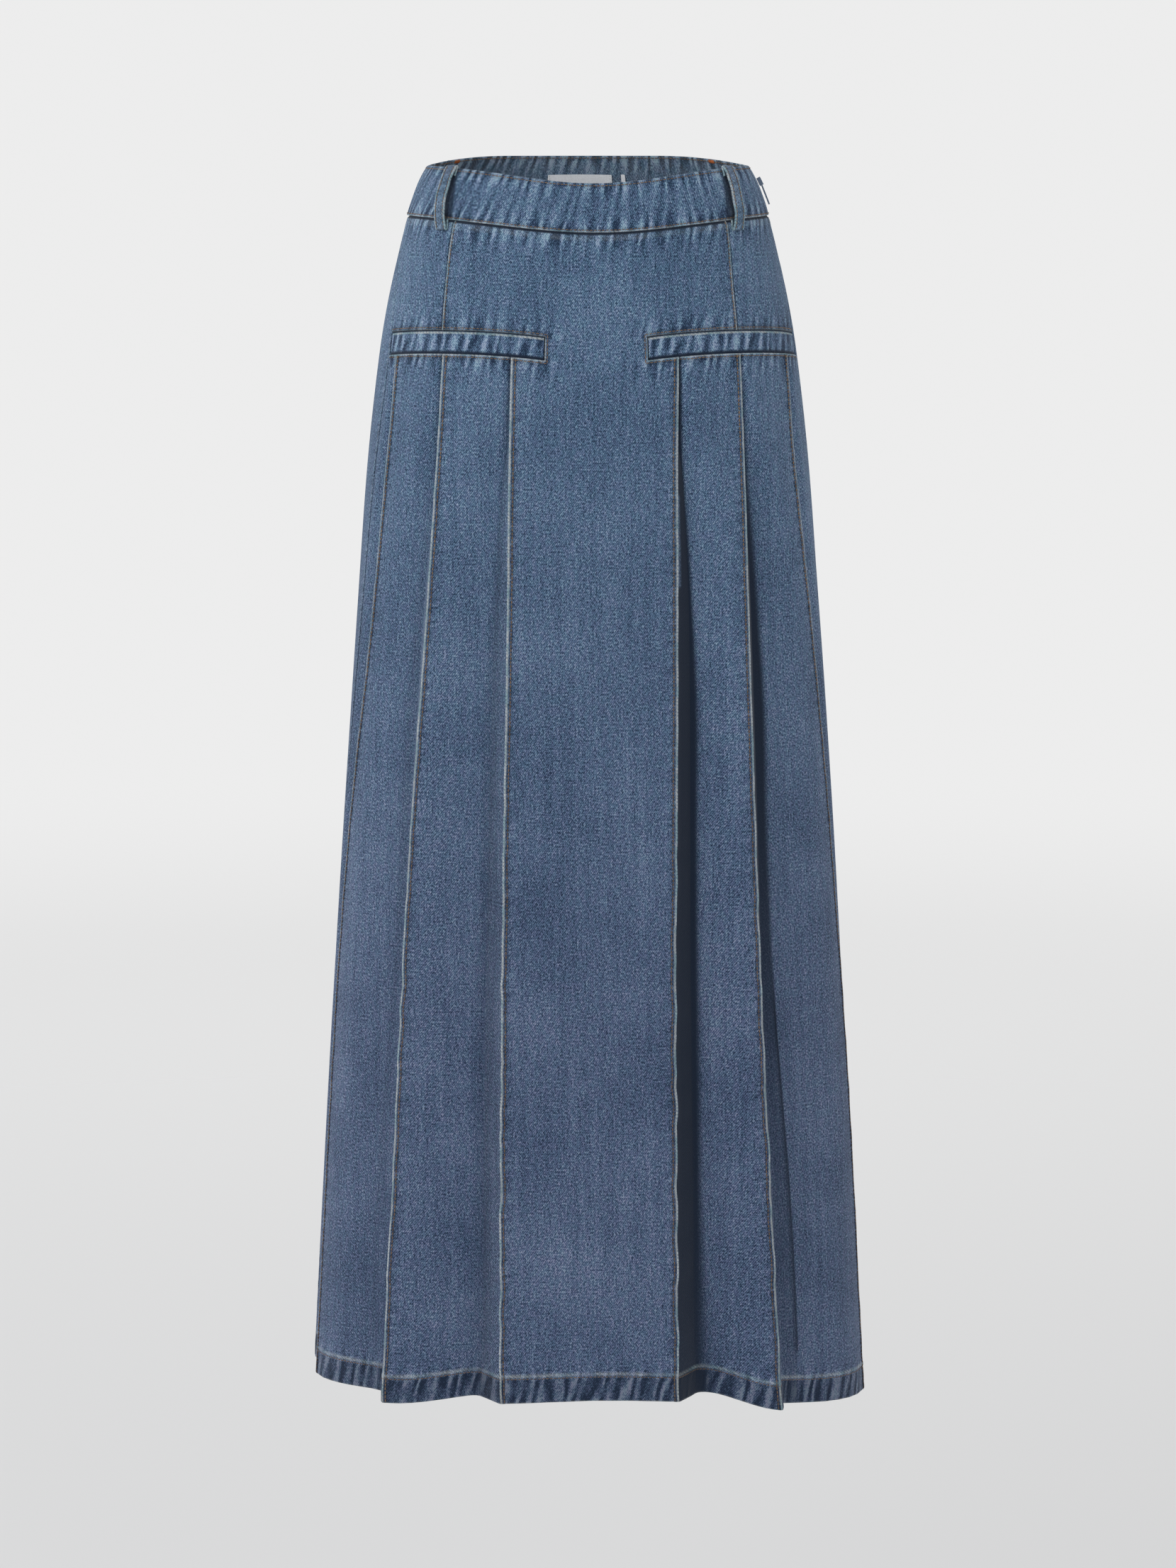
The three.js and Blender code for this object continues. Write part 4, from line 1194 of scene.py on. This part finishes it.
    outer = wall_point(bearing["outer"], height, depth["outer"] + relief)
    inner = wall_point(bearing["inner"], height, depth["inner"] + relief)
    marks = cloth_marks(wear, dark, roped, pucker)
    obj = cloth_piece("front_panel_cloth", outer, inner, uv, marks, DENIM, has)
    grid = {
        "outer": outer, "normal": outward(outer), "middle": middle, "first_lower": first_lower,
        "last_upper": last_upper, "ridge": ridge, "columns": columns,
    }
    return obj, grid


front, front_grid = front_panel()


# Upper side fronts

SIDE_FRONT_STEPS = 17


def side_front(side):
    """The small panel between princess seam and side seam, above the pocket."""
    sign = 1 if side == "left" else -1
    shape = (SIDE_FRONT_STEPS + 2 * len(EDGE_COLUMNS), len(UPPER_PLAN))
    bearing = np.zeros(shape)
    height = np.zeros(shape)
    to_princess = np.zeros(shape)
    to_side = np.zeros(shape)
    for row in range(shape[1]):
        nominal = upper_height(row, curve(PRINCESS_SEAMS, side, "z", POCKET_TOP))
        princess = abs(float(curve(PRINCESS_SEAMS, side, "z", nominal)))
        seam = abs(float(seam_bearing(side, lambda b, r=row: upper_height(r, b))))
        per_mm = float(degrees_per_mm((princess + seam) / 2, nominal))
        start, end = princess + SEAM_GAP / 2 * per_mm, seam - SEAM_GAP / 2 * per_mm
        offsets = np.array(EDGE_COLUMNS) * per_mm
        even = np.linspace(start + offsets[0], end - offsets[0], SIDE_FRONT_STEPS + 2)[1:-1]
        line = np.r_[start + offsets[::-1], even, end - offsets]
        bearing[:, row] = sign * line
        height[:, row] = upper_height(row, bearing[:, row])
        to_princess[:, row] = (line - start) / per_mm
        to_side[:, row] = (end - line) / per_mm
    if sign < 0:
        bearing, height, to_princess, to_side = (a[::-1] for a in (bearing, height, to_princess, to_side))
    uv = texture_grid(wall_point(bearing, height), 0)
    above = height - pocket_top(bearing)
    waist_wear, waist_shadow, roped, waist_relief = waist_edge(band_seam(bearing) - height)
    roped += 0.8 * beside(above, 11.0)
    pucker = 0.8 * beside(to_princess, 6.0) + 0.6 * beside(to_side, 6.0)
    at_edge = within(above, 1.1, 0.4)
    wear = waist_wear + 0.25 * at_edge
    # Painted shadow along the window's upper edge, over the gap to the welt, and darker along the stitch
    # line
    dark = waist_shadow + 0.75 * at_edge + 0.5 * around(above, 2.2, 0.9)
    dark += 0.75 * within(to_princess, 1.4, 1.0) + 0.35 * within(to_side, 1.0, 0.8)
    relief = softness(bearing, height, 13) + waist_relief
    relief += 0.9 * within(above, 0.5, 0.5) - 0.45 * within(above, 2.4, 1.4)
    relief += 0.6 * within(to_princess, 1.6, 1.6) + 0.5 * within(to_side, 1.0, 1.0)
    outer = wall_point(bearing, height, relief)
    inner = wall_point(bearing, height, relief + CLOTH)
    marks = cloth_marks(wear, dark, roped, pucker)
    obj = cloth_piece(f"side_front_{side}_cloth", outer, inner, uv, marks, DENIM)
    return obj, {"outer": outer, "normal": outward(outer)}


# Pocket welts: a folded strip in the window, with a backing that closes the window behind it

WELT_STEPS = 90
# A welt's section: the fraction of the way down the window, an offset down, and the depth
WELT_SECTION = (
    (0.0, -WELT_OVERLAP, WELT_BACKING_DEPTH + 0.1),
    (0.0, -2.0, WELT_BACKING_DEPTH + 0.1),
    (0.0, 0.3, WELT_BACKING_DEPTH + 0.3),
    (0.0, 0.8, WELT_BACKING_DEPTH + 0.1),
    (0.0, WELT_MARGIN, WELT_DEPTH + 0.35),
    (0.0, WELT_MARGIN + 0.3, WELT_DEPTH),
    (0.0, WELT_MARGIN + 0.9, WELT_DEPTH - 0.25),
    (0.0, WELT_MARGIN + 1.7, WELT_DEPTH - 0.2),
    (0.28, 0.0, WELT_DEPTH - 0.1),
    (0.42, 0.0, WELT_DEPTH - 0.1),
    (0.56, 0.0, WELT_DEPTH - 0.1),
    (0.70, 0.0, WELT_DEPTH),
    (0.82, 0.0, WELT_DEPTH + 0.1),
    (1.0, -1.4, WELT_DEPTH + 0.35),
    (1.0, -0.5, WELT_DEPTH + 0.7),
    (1.0, 0.4, WELT_BACKING_DEPTH + 0.2),
    (1.0, WELT_OVERLAP, WELT_BACKING_DEPTH + 0.1),
)


def pocket_welt(side):
    sign = 1 if side == "left" else -1
    section = np.array(WELT_SECTION)
    shape = (WELT_STEPS + 1, len(section))
    t = np.linspace(0, 1, shape[0])[:, None] * np.ones(shape)
    height_at = {}
    for row, (fraction, offset, _) in enumerate(WELT_SECTION):
        height_at[row] = lambda b, f=fraction, o=offset: mix(pocket_top(b), pocket_bottom(b), f) - o
    bearing = np.zeros(shape)
    height = np.zeros(shape)
    for row in range(shape[1]):
        seam = abs(float(seam_bearing(side, height_at[row])))
        per_mm = float(degrees_per_mm(seam, POCKET_TOP))
        start = POCKET_INNER_BEARING + 0.9 * POCKET_EDGE_DEGREES
        bearing[:, row] = sign * mix(start, seam - SEAM_GAP * per_mm, t[:, row])
        height[:, row] = height_at[row](bearing[:, row])
    depth = section[None, :, 2] * np.ones(shape)
    if sign < 0:
        bearing, height = bearing[::-1], height[::-1]
    base = wall_point(bearing, height, depth)
    uv = texture_grid(base, 0)
    top_distance = pocket_top(bearing) - height - WELT_MARGIN
    bottom_distance = height - pocket_bottom(bearing)
    in_face = smooth_step(top_distance / 0.4) * smooth_step(bottom_distance / 0.6)
    wear = within(top_distance, 1.4, 0.4) * smooth_step((top_distance + 0.3) / 0.3)
    # Painted shadow in the gaps: under the window's upper edge and along the welt's lower edge
    dark = 0.92 * within(top_distance, -0.1, 0.4) + within(bottom_distance, 2.1, 0.8)
    relief = 0.2 * noise_2d((uv[..., 0] - 0.3 * height) / 5.0, height / 20.0, 111) * in_face
    relief += softness(bearing, height, 11)
    outer = wall_point(bearing, height, depth + relief)
    inner = wall_point(bearing, height, depth + relief + WELT_CLOTH)
    marks = cloth_marks(wear, dark, 0.72 * in_face, 0 * wear)
    return cloth_piece(f"pocket_welt_{side}_cloth", outer, inner, uv, marks, DENIM)


# Back panel, with soft flutes and two sewn darts

BACK_STEPS = 190


def flute_depth(bearing, z):
    down = np.maximum((FLUTE_START - z) / (FLUTE_START - HEM_BOTTOM), 0) ** FLUTE_POWER
    depth = 0.0
    for centre, half_width, deepest in zip(*BACK_FLUTES.values()):
        off = np.minimum(np.abs(bearing - centre) / half_width, 1)
        depth = depth + deepest * down * (0.5 + 0.5 * np.cos(math.pi * off))
    return depth


def back_panel():
    shape = (BACK_STEPS + 1, len(BACK_PLAN))
    bearing, height = np.zeros(shape), np.zeros(shape)
    to_side = np.zeros(shape)
    for j in range(shape[1]):
        left = float(seam_bearing("left", lambda b, r=j: back_height(r, b)))
        right = 360 + float(seam_bearing("right", lambda b, r=j: back_height(r, b)))
        per_mm = float(degrees_per_mm(left, back_height(j, left)))
        gap = SEAM_GAP / 2 * per_mm
        edge = np.array([0.0, 0.7, 1.6]) * per_mm
        even = np.linspace(left + gap + 3 * per_mm, right - gap - 3 * per_mm, shape[0] - 6)
        line = np.r_[left + gap + edge, even, right - gap - edge[::-1]]
        bearing[:, j] = line
        height[:, j] = back_height(j, line)
        to_side[:, j] = np.minimum(line - left - gap, right - gap - line) / per_mm
    base = wall_point(bearing, height)
    uv = texture_grid(base, BACK_STEPS // 2)
    u = uv[..., 0]
    above_hem = height - hem_line(bearing)
    below_seam = band_seam(bearing) - height
    waist_wear, waist_shadow, waist_roped, waist_relief = waist_edge(below_seam)
    hem_wear, hem_dark, hem_roped, hem_relief = hem_edge(above_hem, u, height, 161)
    wear = waist_wear + hem_wear + 0.25 * around(to_side, 1.6, 0.7)
    dark = waist_shadow + hem_dark + 0.4 * within(to_side, 1.0, 0.8)
    roped = waist_roped + hem_roped
    pucker = 0.8 * beside(to_side, 7.0)
    relief = softness(bearing, height, 15) + flute_depth(bearing, height)
    relief += waist_relief + hem_relief + 0.5 * within(to_side, 1.0, 1.0)
    relief += 0.15 * rope(height, to_side, 12.0, 141) * np.exp(-to_side / 5.0)
    for dart in DARTS:
        off = (bearing - 180 - dart) / degrees_per_mm(180 + dart, -60)
        fade = within(below_seam, DART_LENGTH, 30.0) * (below_seam > 0)
        relief += fade * (DART_DEPTH * around(off, 0, 1.6) - 0.35 * around(off, 3.2, 2.0))
        pucker += 0.9 * fade * np.exp(-np.abs(off) / 6.0)
        dark += 0.8 * fade * around(off, 0, 1.4)
        wear += 0.55 * fade * around(off, 2.2, 0.9)
    outer = wall_point(bearing, height, relief)
    inner = wall_point(bearing, height, relief + CLOTH + hem_extra(above_hem))
    marks = cloth_marks(wear, dark, roped, pucker)
    obj = cloth_piece("back_panel_cloth", outer, inner, uv, marks, DENIM)
    return obj, {"outer": outer, "normal": outward(outer)}


# Waistband: a folded band with rounded edges, in a front and a back half

BAND_STEPS = 260
BAND_CORNER = 1.25
BAND_FACE_ROWS = 15


def band_ring():
    """Points round the band's section: fraction down, offset up, and depth."""
    corner = np.radians(np.linspace(0, 180, 7))
    middle = (BAND_INSIDE - BAND_PROUD) / 2
    half = (BAND_INSIDE + BAND_PROUD) / 2
    top = [(0.0, -BAND_CORNER + BAND_CORNER * math.sin(a), middle - half * math.cos(a)) for a in corner]
    bottom = [(1.0, BAND_CORNER - BAND_CORNER * math.sin(a), middle + half * math.cos(a)) for a in corner]
    down = [(k / (BAND_FACE_ROWS + 1), 0.0) for k in range(1, BAND_FACE_ROWS + 1)]
    inner = [(t, 0.0, BAND_INSIDE) for t, _ in down]
    outer = [(t, 0.0, -BAND_PROUD) for t, _ in reversed(down)]
    return np.array(top + inner + bottom + outer)


def waistband(name, start, end):
    ring = band_ring()
    gap = SEAM_GAP / 2 * float(degrees_per_mm(BAND_SEAM_BEARING, 0))
    line = np.linspace(start + gap, end - gap, BAND_STEPS + 1)[:, None]
    top, bottom = band_top(line), band_seam(line) + SEAM_GAP / 2
    height = mix(top, bottom, ring[None, :, 0]) + ring[None, :, 1]
    depth = ring[None, :, 2] * np.ones(height.shape)
    bearing = line * np.ones(height.shape)
    base = wall_point(line[:, 0], np.zeros(len(line)) + BAND_SEAM)
    along = np.r_[0, np.cumsum(np.linalg.norm(np.diff(base, axis=0), axis=-1))][:, None]
    u = along * np.ones(height.shape)
    down, up = top - height, height - bottom
    middle = (BAND_INSIDE - BAND_PROUD) / 2
    is_inside = (ring[None, :, 2] > middle) * np.ones(height.shape)
    outwards = 1 - 2 * is_inside
    seed = 171 + 10 * int(start > 0)
    roped = (beside(down, 11.0) + beside(up, 11.0)) * (1 + 0.6 * is_inside)
    relief = 0.28 * noise_2d((u - 0.35 * height * outwards) / 5.0, height / 18.0, seed) * roped * outwards
    wear = 0.75 * within(up, 1.2, 0.5) + 0.15 * within(down, 0.9, 0.6) + 0.16 * is_inside
    dark = np.zeros(height.shape)
    # Painted shadow on the band beside each belt loop, partly unfaded dye under it
    for top_end, bottom_end, _ in BELT_LOOPS.values():
        past = (bearing - mix(bottom_end, top_end, up / (up + down)) + 180) % 360 - 180
        off = np.abs(past) / float(degrees_per_mm(top_end, 0))
        dark += 0.75 * within(off, LOOP_WIDTH / 2 + LOOP_SHADE, 1.6) * (1 - is_inside)
    for edge in (down, up):
        groove = around(edge, TOPSTITCH, 0.7)
        relief += 0.25 * groove * outwards
        dark += 0.4 * groove
    side = np.minimum(along, along[-1] - along) * np.ones(height.shape)
    pinch = 0.7 * within(side, 0.9, 0.9)
    depth = mix(depth + relief, middle, pinch)
    rings = wall_point(bearing, height, depth)
    uv = np.stack([u * outwards, height], axis=-1)
    marks = cloth_marks(wear, dark, roped, 0 * wear)
    turned = {key: grid[:, ::-1] for key, grid in marks.items()}
    return swept(name, rings[:, ::-1], uv[:, ::-1], turned, DENIM)


def band_line_points(start, end, height_at, depth, outside=True):
    """A line on the waistband's face, with its normals."""
    bearing = np.linspace(start, end, 240)
    z = height_at(bearing)
    points = wall_point(bearing, z, depth)
    normals = wall_point(bearing, z, depth - 1) - points
    return points, normals if outside else -normals


# Belt loops: folded strips that bow off the waistband and turn under at both ends

LOOP_STEPS = 44
LOOP_TURN_STEPS = 7
LOOP_TAIL = 6
# Half a loop's section, from edge to edge: a place across it, and how thick it is there. The folded
# edges are thicker, with a stitched groove inside each, and the middle is flat.
LOOP_ACROSS = (-1, -0.97, -0.86, -0.74, -0.66, -0.5, 0, 0.5, 0.66, 0.74, 0.86, 0.97, 1)
LOOP_LIFT = (0.25, 0.75, 1.0, 0.85, 0.6, 0.82, 0.85, 0.82, 0.6, 0.85, 1.0, 0.75, 0.25)


def loop_path(top_z, bottom_z):
    """Height and stand-off along a loop, from its hidden lower end to its hidden upper end."""
    turn = np.linspace(0, math.pi, LOOP_TURN_STEPS)
    low_back, high_back = 0.15 + LOOP_CLOTH / 2, BAND_PROUD + 0.15 + LOOP_CLOTH / 2
    low_front, high_front = low_back + 2 * LOOP_TURN, high_back + 2 * LOOP_TURN
    t = np.linspace(0, 1, LOOP_STEPS)
    z = mix(bottom_z + LOOP_TURN, top_z - LOOP_TURN, t)
    out = mix(low_front, high_front, smooth_step(t * 3) * 0.6 + 0.4 * t)
    out = out + LOOP_BOW * np.sin(math.pi * t) ** 0.7
    bend = list(zip(LOOP_TURN * (1 - np.sin(turn)), LOOP_TURN * (1 - np.cos(turn))))
    tails = (LOOP_TURN + LOOP_TAIL, LOOP_TURN + LOOP_TAIL / 2)
    lower = [(bottom_z + tail, low_back) for tail in tails]
    lower += [(bottom_z + down, low_back + away) for down, away in bend]
    upper = [(top_z - down, high_front - away) for down, away in bend]
    upper += [(top_z - tail, high_back) for tail in reversed(tails)]
    return np.array(lower + list(zip(z[1:-1], out[1:-1])) + upper)


def belt_loop(name, top, bottom, above, seed):
    top_z = float(band_top(top)) + above
    bottom_z = float(band_seam(bottom)) - LOOP_BELOW_SEAM
    path = loop_path(top_z, bottom_z)
    t = (path[:, 0] - bottom_z) / (top_z - bottom_z)
    bearing = mix(bottom, top, np.clip(t, 0, 1)) + 0.25 * noise(t * 4, seed)
    base = wall_point(bearing, path[:, 0])
    out = base - wall_point(bearing, path[:, 0], 1.0)
    centre = base + out * path[:, 1:2]
    ahead = wall_point(bearing + 1, path[:, 0]) - base
    side = ahead / np.linalg.norm(ahead, axis=1, keepdims=True)
    run = np.gradient(centre, axis=0)
    run /= np.linalg.norm(run, axis=1, keepdims=True)
    face = np.cross(run, side)
    face /= np.linalg.norm(face, axis=1, keepdims=True)
    half, thick = LOOP_WIDTH / 2, LOOP_CLOTH / 2
    front = list(zip(LOOP_ACROSS, LOOP_LIFT))
    profile = np.array(front + [(place, -lift) for place, lift in reversed(front)])
    along = np.r_[0, np.cumsum(np.linalg.norm(np.diff(centre, axis=0), axis=1))]
    wavy = 1 + 0.06 * noise(along / 5.0, seed + 2)
    rings = np.stack([
        centre + side * (a * half * wavy[:, None]) + face * (h * thick) for a, h in profile
    ], axis=1)
    u = profile[None, :, 0] * half * np.ones(rings.shape[:2])
    v = along[:, None] * np.ones(rings.shape[:2])
    edge = (np.abs(profile[None, :, 0]) > 0.8) * np.ones(rings.shape[:2])
    wear = 1.15 * edge * (0.85 + 0.15 * noise(v / 3.0, seed)) + 0.14
    dark = 0.8 * around(np.abs(u) / half, 0.66, 0.09)
    uv = np.stack([u, v], axis=-1)
    marks = cloth_marks(wear, dark, 0 * u, 0.8 + 0 * u)
    obj = swept(name, rings, uv, marks, DENIM)
    shown = slice(LOOP_TURN_STEPS, -LOOP_TURN_STEPS)
    return obj, {"centre": centre[shown], "side": side[shown], "face": -face[shown]}


# Labels inside the back of the waistband


def inside_patch(name, offset, size, grid, thickness, wave):
    """A soft patch of cloth inside the back of the waistband."""
    width, tall = size
    top = float(band_top(180)) - LABEL_BELOW_TOP
    per_mm = float(degrees_per_mm(180, top))
    columns, rows = grid
    across = np.linspace(-0.5, 0.5, columns)[:, None]
    down = np.linspace(0, 1, rows)[None, :]
    bearing = 180 + per_mm * (offset + width * across + 0 * down)
    height = top - tall * down + 0.35 * np.cos(math.pi * across) + 0 * bearing
    depth = BAND_INSIDE + 0.45 + wave * (noise_2d(across * 5, down * 2, 5) * 0.5 + 0.5)
    depth = depth + 0.25 * smooth_step((np.abs(across) - 0.46) / 0.04)
    outer = wall_point(bearing, height, depth)
    inner = wall_point(bearing, height, depth + thickness)
    uv = texture_grid(outer, columns // 2)
    obj = cloth_piece(name, outer, inner, uv, {}, LABEL_CLOTH)
    return obj, {"outer": inner, "normal": -outward(inner)}


# Build the other pieces, and the sewing along their lines

pieces = {"front_panel": front}
grids = {}
for side in ("left", "right"):
    pieces[f"side_front_{side}"], grids[side] = side_front(side)
    pieces[f"pocket_welt_{side}"] = pocket_welt(side)
pieces["back_panel"], back_grid = back_panel()
pieces["waistband_front"] = waistband("waistband_front_cloth", -BAND_SEAM_BEARING, BAND_SEAM_BEARING)
pieces["waistband_back"] = waistband("waistband_back_cloth", BAND_SEAM_BEARING, 360 - BAND_SEAM_BEARING)
loops = {}
for number, (name, ends) in enumerate(BELT_LOOPS.items()):
    pieces[name], loops[name] = belt_loop(f"{name}_cloth", *ends, 201 + 10 * number)
for node, piece in pieces.items():
    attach(piece, "root")
    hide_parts(node)

label, label_grid = inside_patch("label_patch", LABEL_OFFSET, LABEL_SIZE, LABEL_GRID, 0.5, 0.5)
size_tag, _ = inside_patch("size_tag_patch", TAG_OFFSET, TAG_SIZE, TAG_GRID, 0.8, 0.3)
labels = {"label": label, "size_tag": size_tag}
for node, piece in labels.items():
    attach(piece, "root")
    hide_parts(node)

sewing = []


def front_line(columns, rows):
    return front_grid["outer"][columns, rows], front_grid["normal"][columns, rows]


# Pleats: a line of stitches beside each fold edge
pleat_lines = []
crest_columns = CREST_STEPS + 1 + RETURN_STEPS + VALLEY_STEPS + 1 + PANEL_STEPS
stitch_step = RIDGE_COLUMNS.index(EDGE_STITCH)
first_stitch = len(CENTRE_BEARINGS) + TUCK_STEPS + stitch_step
pleat_step = crest_columns + len(RIDGE_COLUMNS)
pleat_rows = slice(front_grid["first_lower"] + 2, front_grid["outer"].shape[1] - 1)
for sign in (-1, 1):
    for number in range(len(PLEATS)):
        place = first_stitch + number * pleat_step
        pleat_lines.append(front_line(front_grid["middle"] + sign * place, pleat_rows))
sewing.append(stitches("pleat_stitches", pleat_lines, GOLD_THREAD, radius=PLEAT_THREAD_RADIUS))

# Pocket windows: above, round the inner end, and below
pocket_lines = []
stitch_inset = len(EDGE_COLUMNS) - 1 - EDGE_COLUMNS.index(TOPSTITCH)
inner_column = len(CENTRE_BEARINGS) - 1 - stitch_inset
above_row = front_grid["last_upper"] - TOP_STITCH_ROW
below_row = front_grid["first_lower"] + TOP_STITCH_ROW
last_column = front_grid["columns"] - 1
wing_end = len(CENTRE_BEARINGS) - 1 + WING
for sign in (-1, 1):
    inside = front_grid["middle"] + sign * inner_column
    outside = front_grid["middle"] + sign * (wing_end - 3)
    edge = 0 if sign < 0 else last_column
    for row, far in ((above_row, outside), (below_row, edge)):
        pocket_lines.append(front_line(slice(min(inside, far), max(inside, far) + 1), row))
    pocket_lines.append(front_line(inside, slice(above_row, below_row + 1)))
for side in ("left", "right"):
    pocket_lines.append((grids[side]["outer"][:, above_row], grids[side]["normal"][:, above_row]))
sewing.append(stitches("pocket_stitches", pocket_lines, GOLD_THREAD))

# Princess seams
princess_lines = []
for sign in (-1, 1):
    column = front_grid["middle"] + sign * (wing_end - stitch_inset)
    princess_lines.append(front_line(column, slice(1, above_row + 1)))
sewing.append(stitches("princess_stitches", princess_lines, GOLD_THREAD))

# Hem, all round
hem_lines = [front_line(slice(0, last_column + 1), HEM_STITCH_ROW)]
hem_lines.append((back_grid["outer"][:, HEM_STITCH_ROW], back_grid["normal"][:, HEM_STITCH_ROW]))
sewing.append(stitches("hem_stitches", hem_lines, GOLD_THREAD))

# Waistband: along both edges, outside and inside
band_lines = []
for start, end in ((-BAND_SEAM_BEARING, BAND_SEAM_BEARING), (BAND_SEAM_BEARING, 360 - BAND_SEAM_BEARING)):
    near, far = start + 0.6, end - 0.6
    for height_at in (lambda b: band_top(b) - TOPSTITCH, lambda b: band_seam(b) + TOPSTITCH):
        band_lines.append(band_line_points(near, far, height_at, -BAND_PROUD + 0.1))
        band_lines.append(band_line_points(near, far, height_at, BAND_INSIDE - 0.1, False))
sewing.append(stitches("waistband_stitches", band_lines, GOLD_THREAD))

# Belt loops: a line inside each edge, and a bartack inside the band behind each upper end
loop_lines, bartacks = [], []
for data in loops.values():
    for sign in (-1, 1):
        shift = data["side"] * sign * LOOP_WIDTH * 0.33
        loop_lines.append((data["centre"] + shift + data["face"] * LOOP_CLOTH * 0.3, data["face"]))
for top, _, _ in BELT_LOOPS.values():
    for shift in np.linspace(-0.5, 0.5, BARTACK_STITCHES):
        bearing = top + shift * BARTACK_WIDTH * float(degrees_per_mm(top, 0))
        z = float(band_top(bearing)) - BARTACK_BELOW_TOP - np.array([0, BARTACK_LENGTH])
        points = wall_point(bearing, z, BAND_INSIDE)
        bartacks.append((points, wall_point(bearing, z, BAND_INSIDE + 1) - points))
sewing.append(stitches("belt_loop_stitches", loop_lines, GOLD_THREAD))
sewing.append(stitches("bartacks", bartacks, ORANGE_THREAD, pitch=BARTACK_LENGTH, length=BARTACK_LENGTH))

# Labels, sewn down along their ends
label_lines = [(label_grid["outer"][column], label_grid["normal"][column]) for column in (1, -2)]
sewing.append(stitches("label_stitches", label_lines, PALE_THREAD, pitch=2.2, length=1.7, radius=0.16))
for piece in sewing:
    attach(piece, "root")

# Zip: its tape, slider and pull keep their solids
for node, material in (("zip_tape", TAPE_CLOTH), ("zip_slider", ZIP_ENAMEL), ("zip_pull", ZIP_ENAMEL)):
    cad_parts[node].data.materials.clear()
    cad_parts[node].data.materials.append(material)


# Floor, light and camera

FLOOR_Z = -1.35
FLOOR_RADIUS = 8.0
FLOOR_SIDES = 96
FLOOR_FADE = (0.8, 6.5)
FLOOR_GLOW = 0.48
CAMERA_AZIMUTH = -3
CAMERA_ELEVATION = 8
CAMERA_DISTANCE = 3.6
CAMERA_TARGET = Vector((0, 0, -0.455))
CAMERA_LENS = 105.8
CAMERA_SENSOR = 36
PAPER = (0.2, 0.2, 0.2)
BACKDROP = (0.845, 0.845, 0.845)
ROOM_LIGHT = (0.42, 0.43, 0.45)

# Soft lights: bearing and height angle in degrees, distance, width and height in metres, watts
LIGHTS = {
    "key": (-38, 24, 4.0, 1.8, 2.4, 72),
    "fill": (28, 8, 4.0, 2.4, 2.6, 48),
    "left_rim": (-104, 10, 3.6, 1.4, 2.6, 64),
    "right_rim": (112, 10, 3.6, 1.4, 2.6, 30),
    "back": (180, 20, 4.0, 2.4, 2.4, 50),
}
LIGHT_TARGET = Vector((0, 0, -0.45))


def view_direction(azimuth, elevation):
    """The direction from the skirt to a camera or light."""
    azimuth, elevation = math.radians(azimuth), math.radians(elevation)
    return Vector((
        math.sin(azimuth) * math.cos(elevation),
        -math.cos(azimuth) * math.cos(elevation),
        math.sin(elevation),
    ))


def floor():
    """A pale disc that fades into the background."""
    bpy.ops.mesh.primitive_circle_add(
        vertices=FLOOR_SIDES, radius=FLOOR_RADIUS, fill_type="NGON", location=(0, 0, FLOOR_Z),
    )
    disc = bpy.context.object
    disc.name = "floor"
    material, shader = new_material("floor_paper", PAPER, 0.9, specular=0.1)
    shader.inputs["Emission Color"].default_value = (1, 1, 1, 1)
    shader.inputs["Emission Strength"].default_value = FLOOR_GLOW
    graph = Graph(material)
    far = graph.node("ShaderNodeVectorMath", operation="LENGTH")
    graph.put(far.inputs[0], graph.place())
    fade = graph.remap(far.outputs["Value"], *FLOOR_FADE, 1.0, 0.0)
    fade.node.interpolation_type = "SMOOTHSTEP"
    graph.put(shader.inputs["Alpha"], fade)
    disc.data.materials.append(material)


def area_light(name, azimuth, elevation, distance, width, tall, power):
    data = bpy.data.lights.new(name, "AREA")
    data.shape = "RECTANGLE"
    data.size, data.size_y = width, tall
    data.energy = power
    light = bpy.data.objects.new(name, data)
    away = view_direction(azimuth, elevation)
    light.location = LIGHT_TARGET + away * distance
    light.rotation_euler = (-away).to_track_quat("-Z", "Y").to_euler()
    bpy.context.scene.collection.objects.link(light)


def studio():
    """An even room light, and a paler backdrop behind the skirt."""
    world = bpy.data.worlds.new("studio")
    world.use_nodes = True
    tree = world.node_tree
    room = tree.nodes["Background"]
    room.inputs[0].default_value = (*ROOM_LIGHT, 1)
    backdrop = tree.nodes.new("ShaderNodeBackground")
    backdrop.inputs[0].default_value = (*BACKDROP, 1)
    seen = tree.nodes.new("ShaderNodeLightPath")
    choice = tree.nodes.new("ShaderNodeMixShader")
    tree.links.new(seen.outputs["Is Camera Ray"], choice.inputs[0])
    tree.links.new(room.outputs[0], choice.inputs[1])
    tree.links.new(backdrop.outputs[0], choice.inputs[2])
    tree.links.new(choice.outputs[0], tree.nodes["World Output"].inputs[0])
    bpy.context.scene.world = world
    bpy.context.scene.view_settings.view_transform = "Standard"


def camera():
    data = bpy.data.cameras.new("camera")
    data.lens = CAMERA_LENS
    data.sensor_width = CAMERA_SENSOR
    made = bpy.data.objects.new("camera", data)
    away = view_direction(CAMERA_AZIMUTH, CAMERA_ELEVATION)
    made.location = CAMERA_TARGET + away * CAMERA_DISTANCE
    made.rotation_euler = (-away).to_track_quat("-Z", "Y").to_euler()
    bpy.context.scene.collection.objects.link(made)
    bpy.context.scene.camera = made


floor()
for name, settings in LIGHTS.items():
    area_light(name, *settings)
studio()
camera()
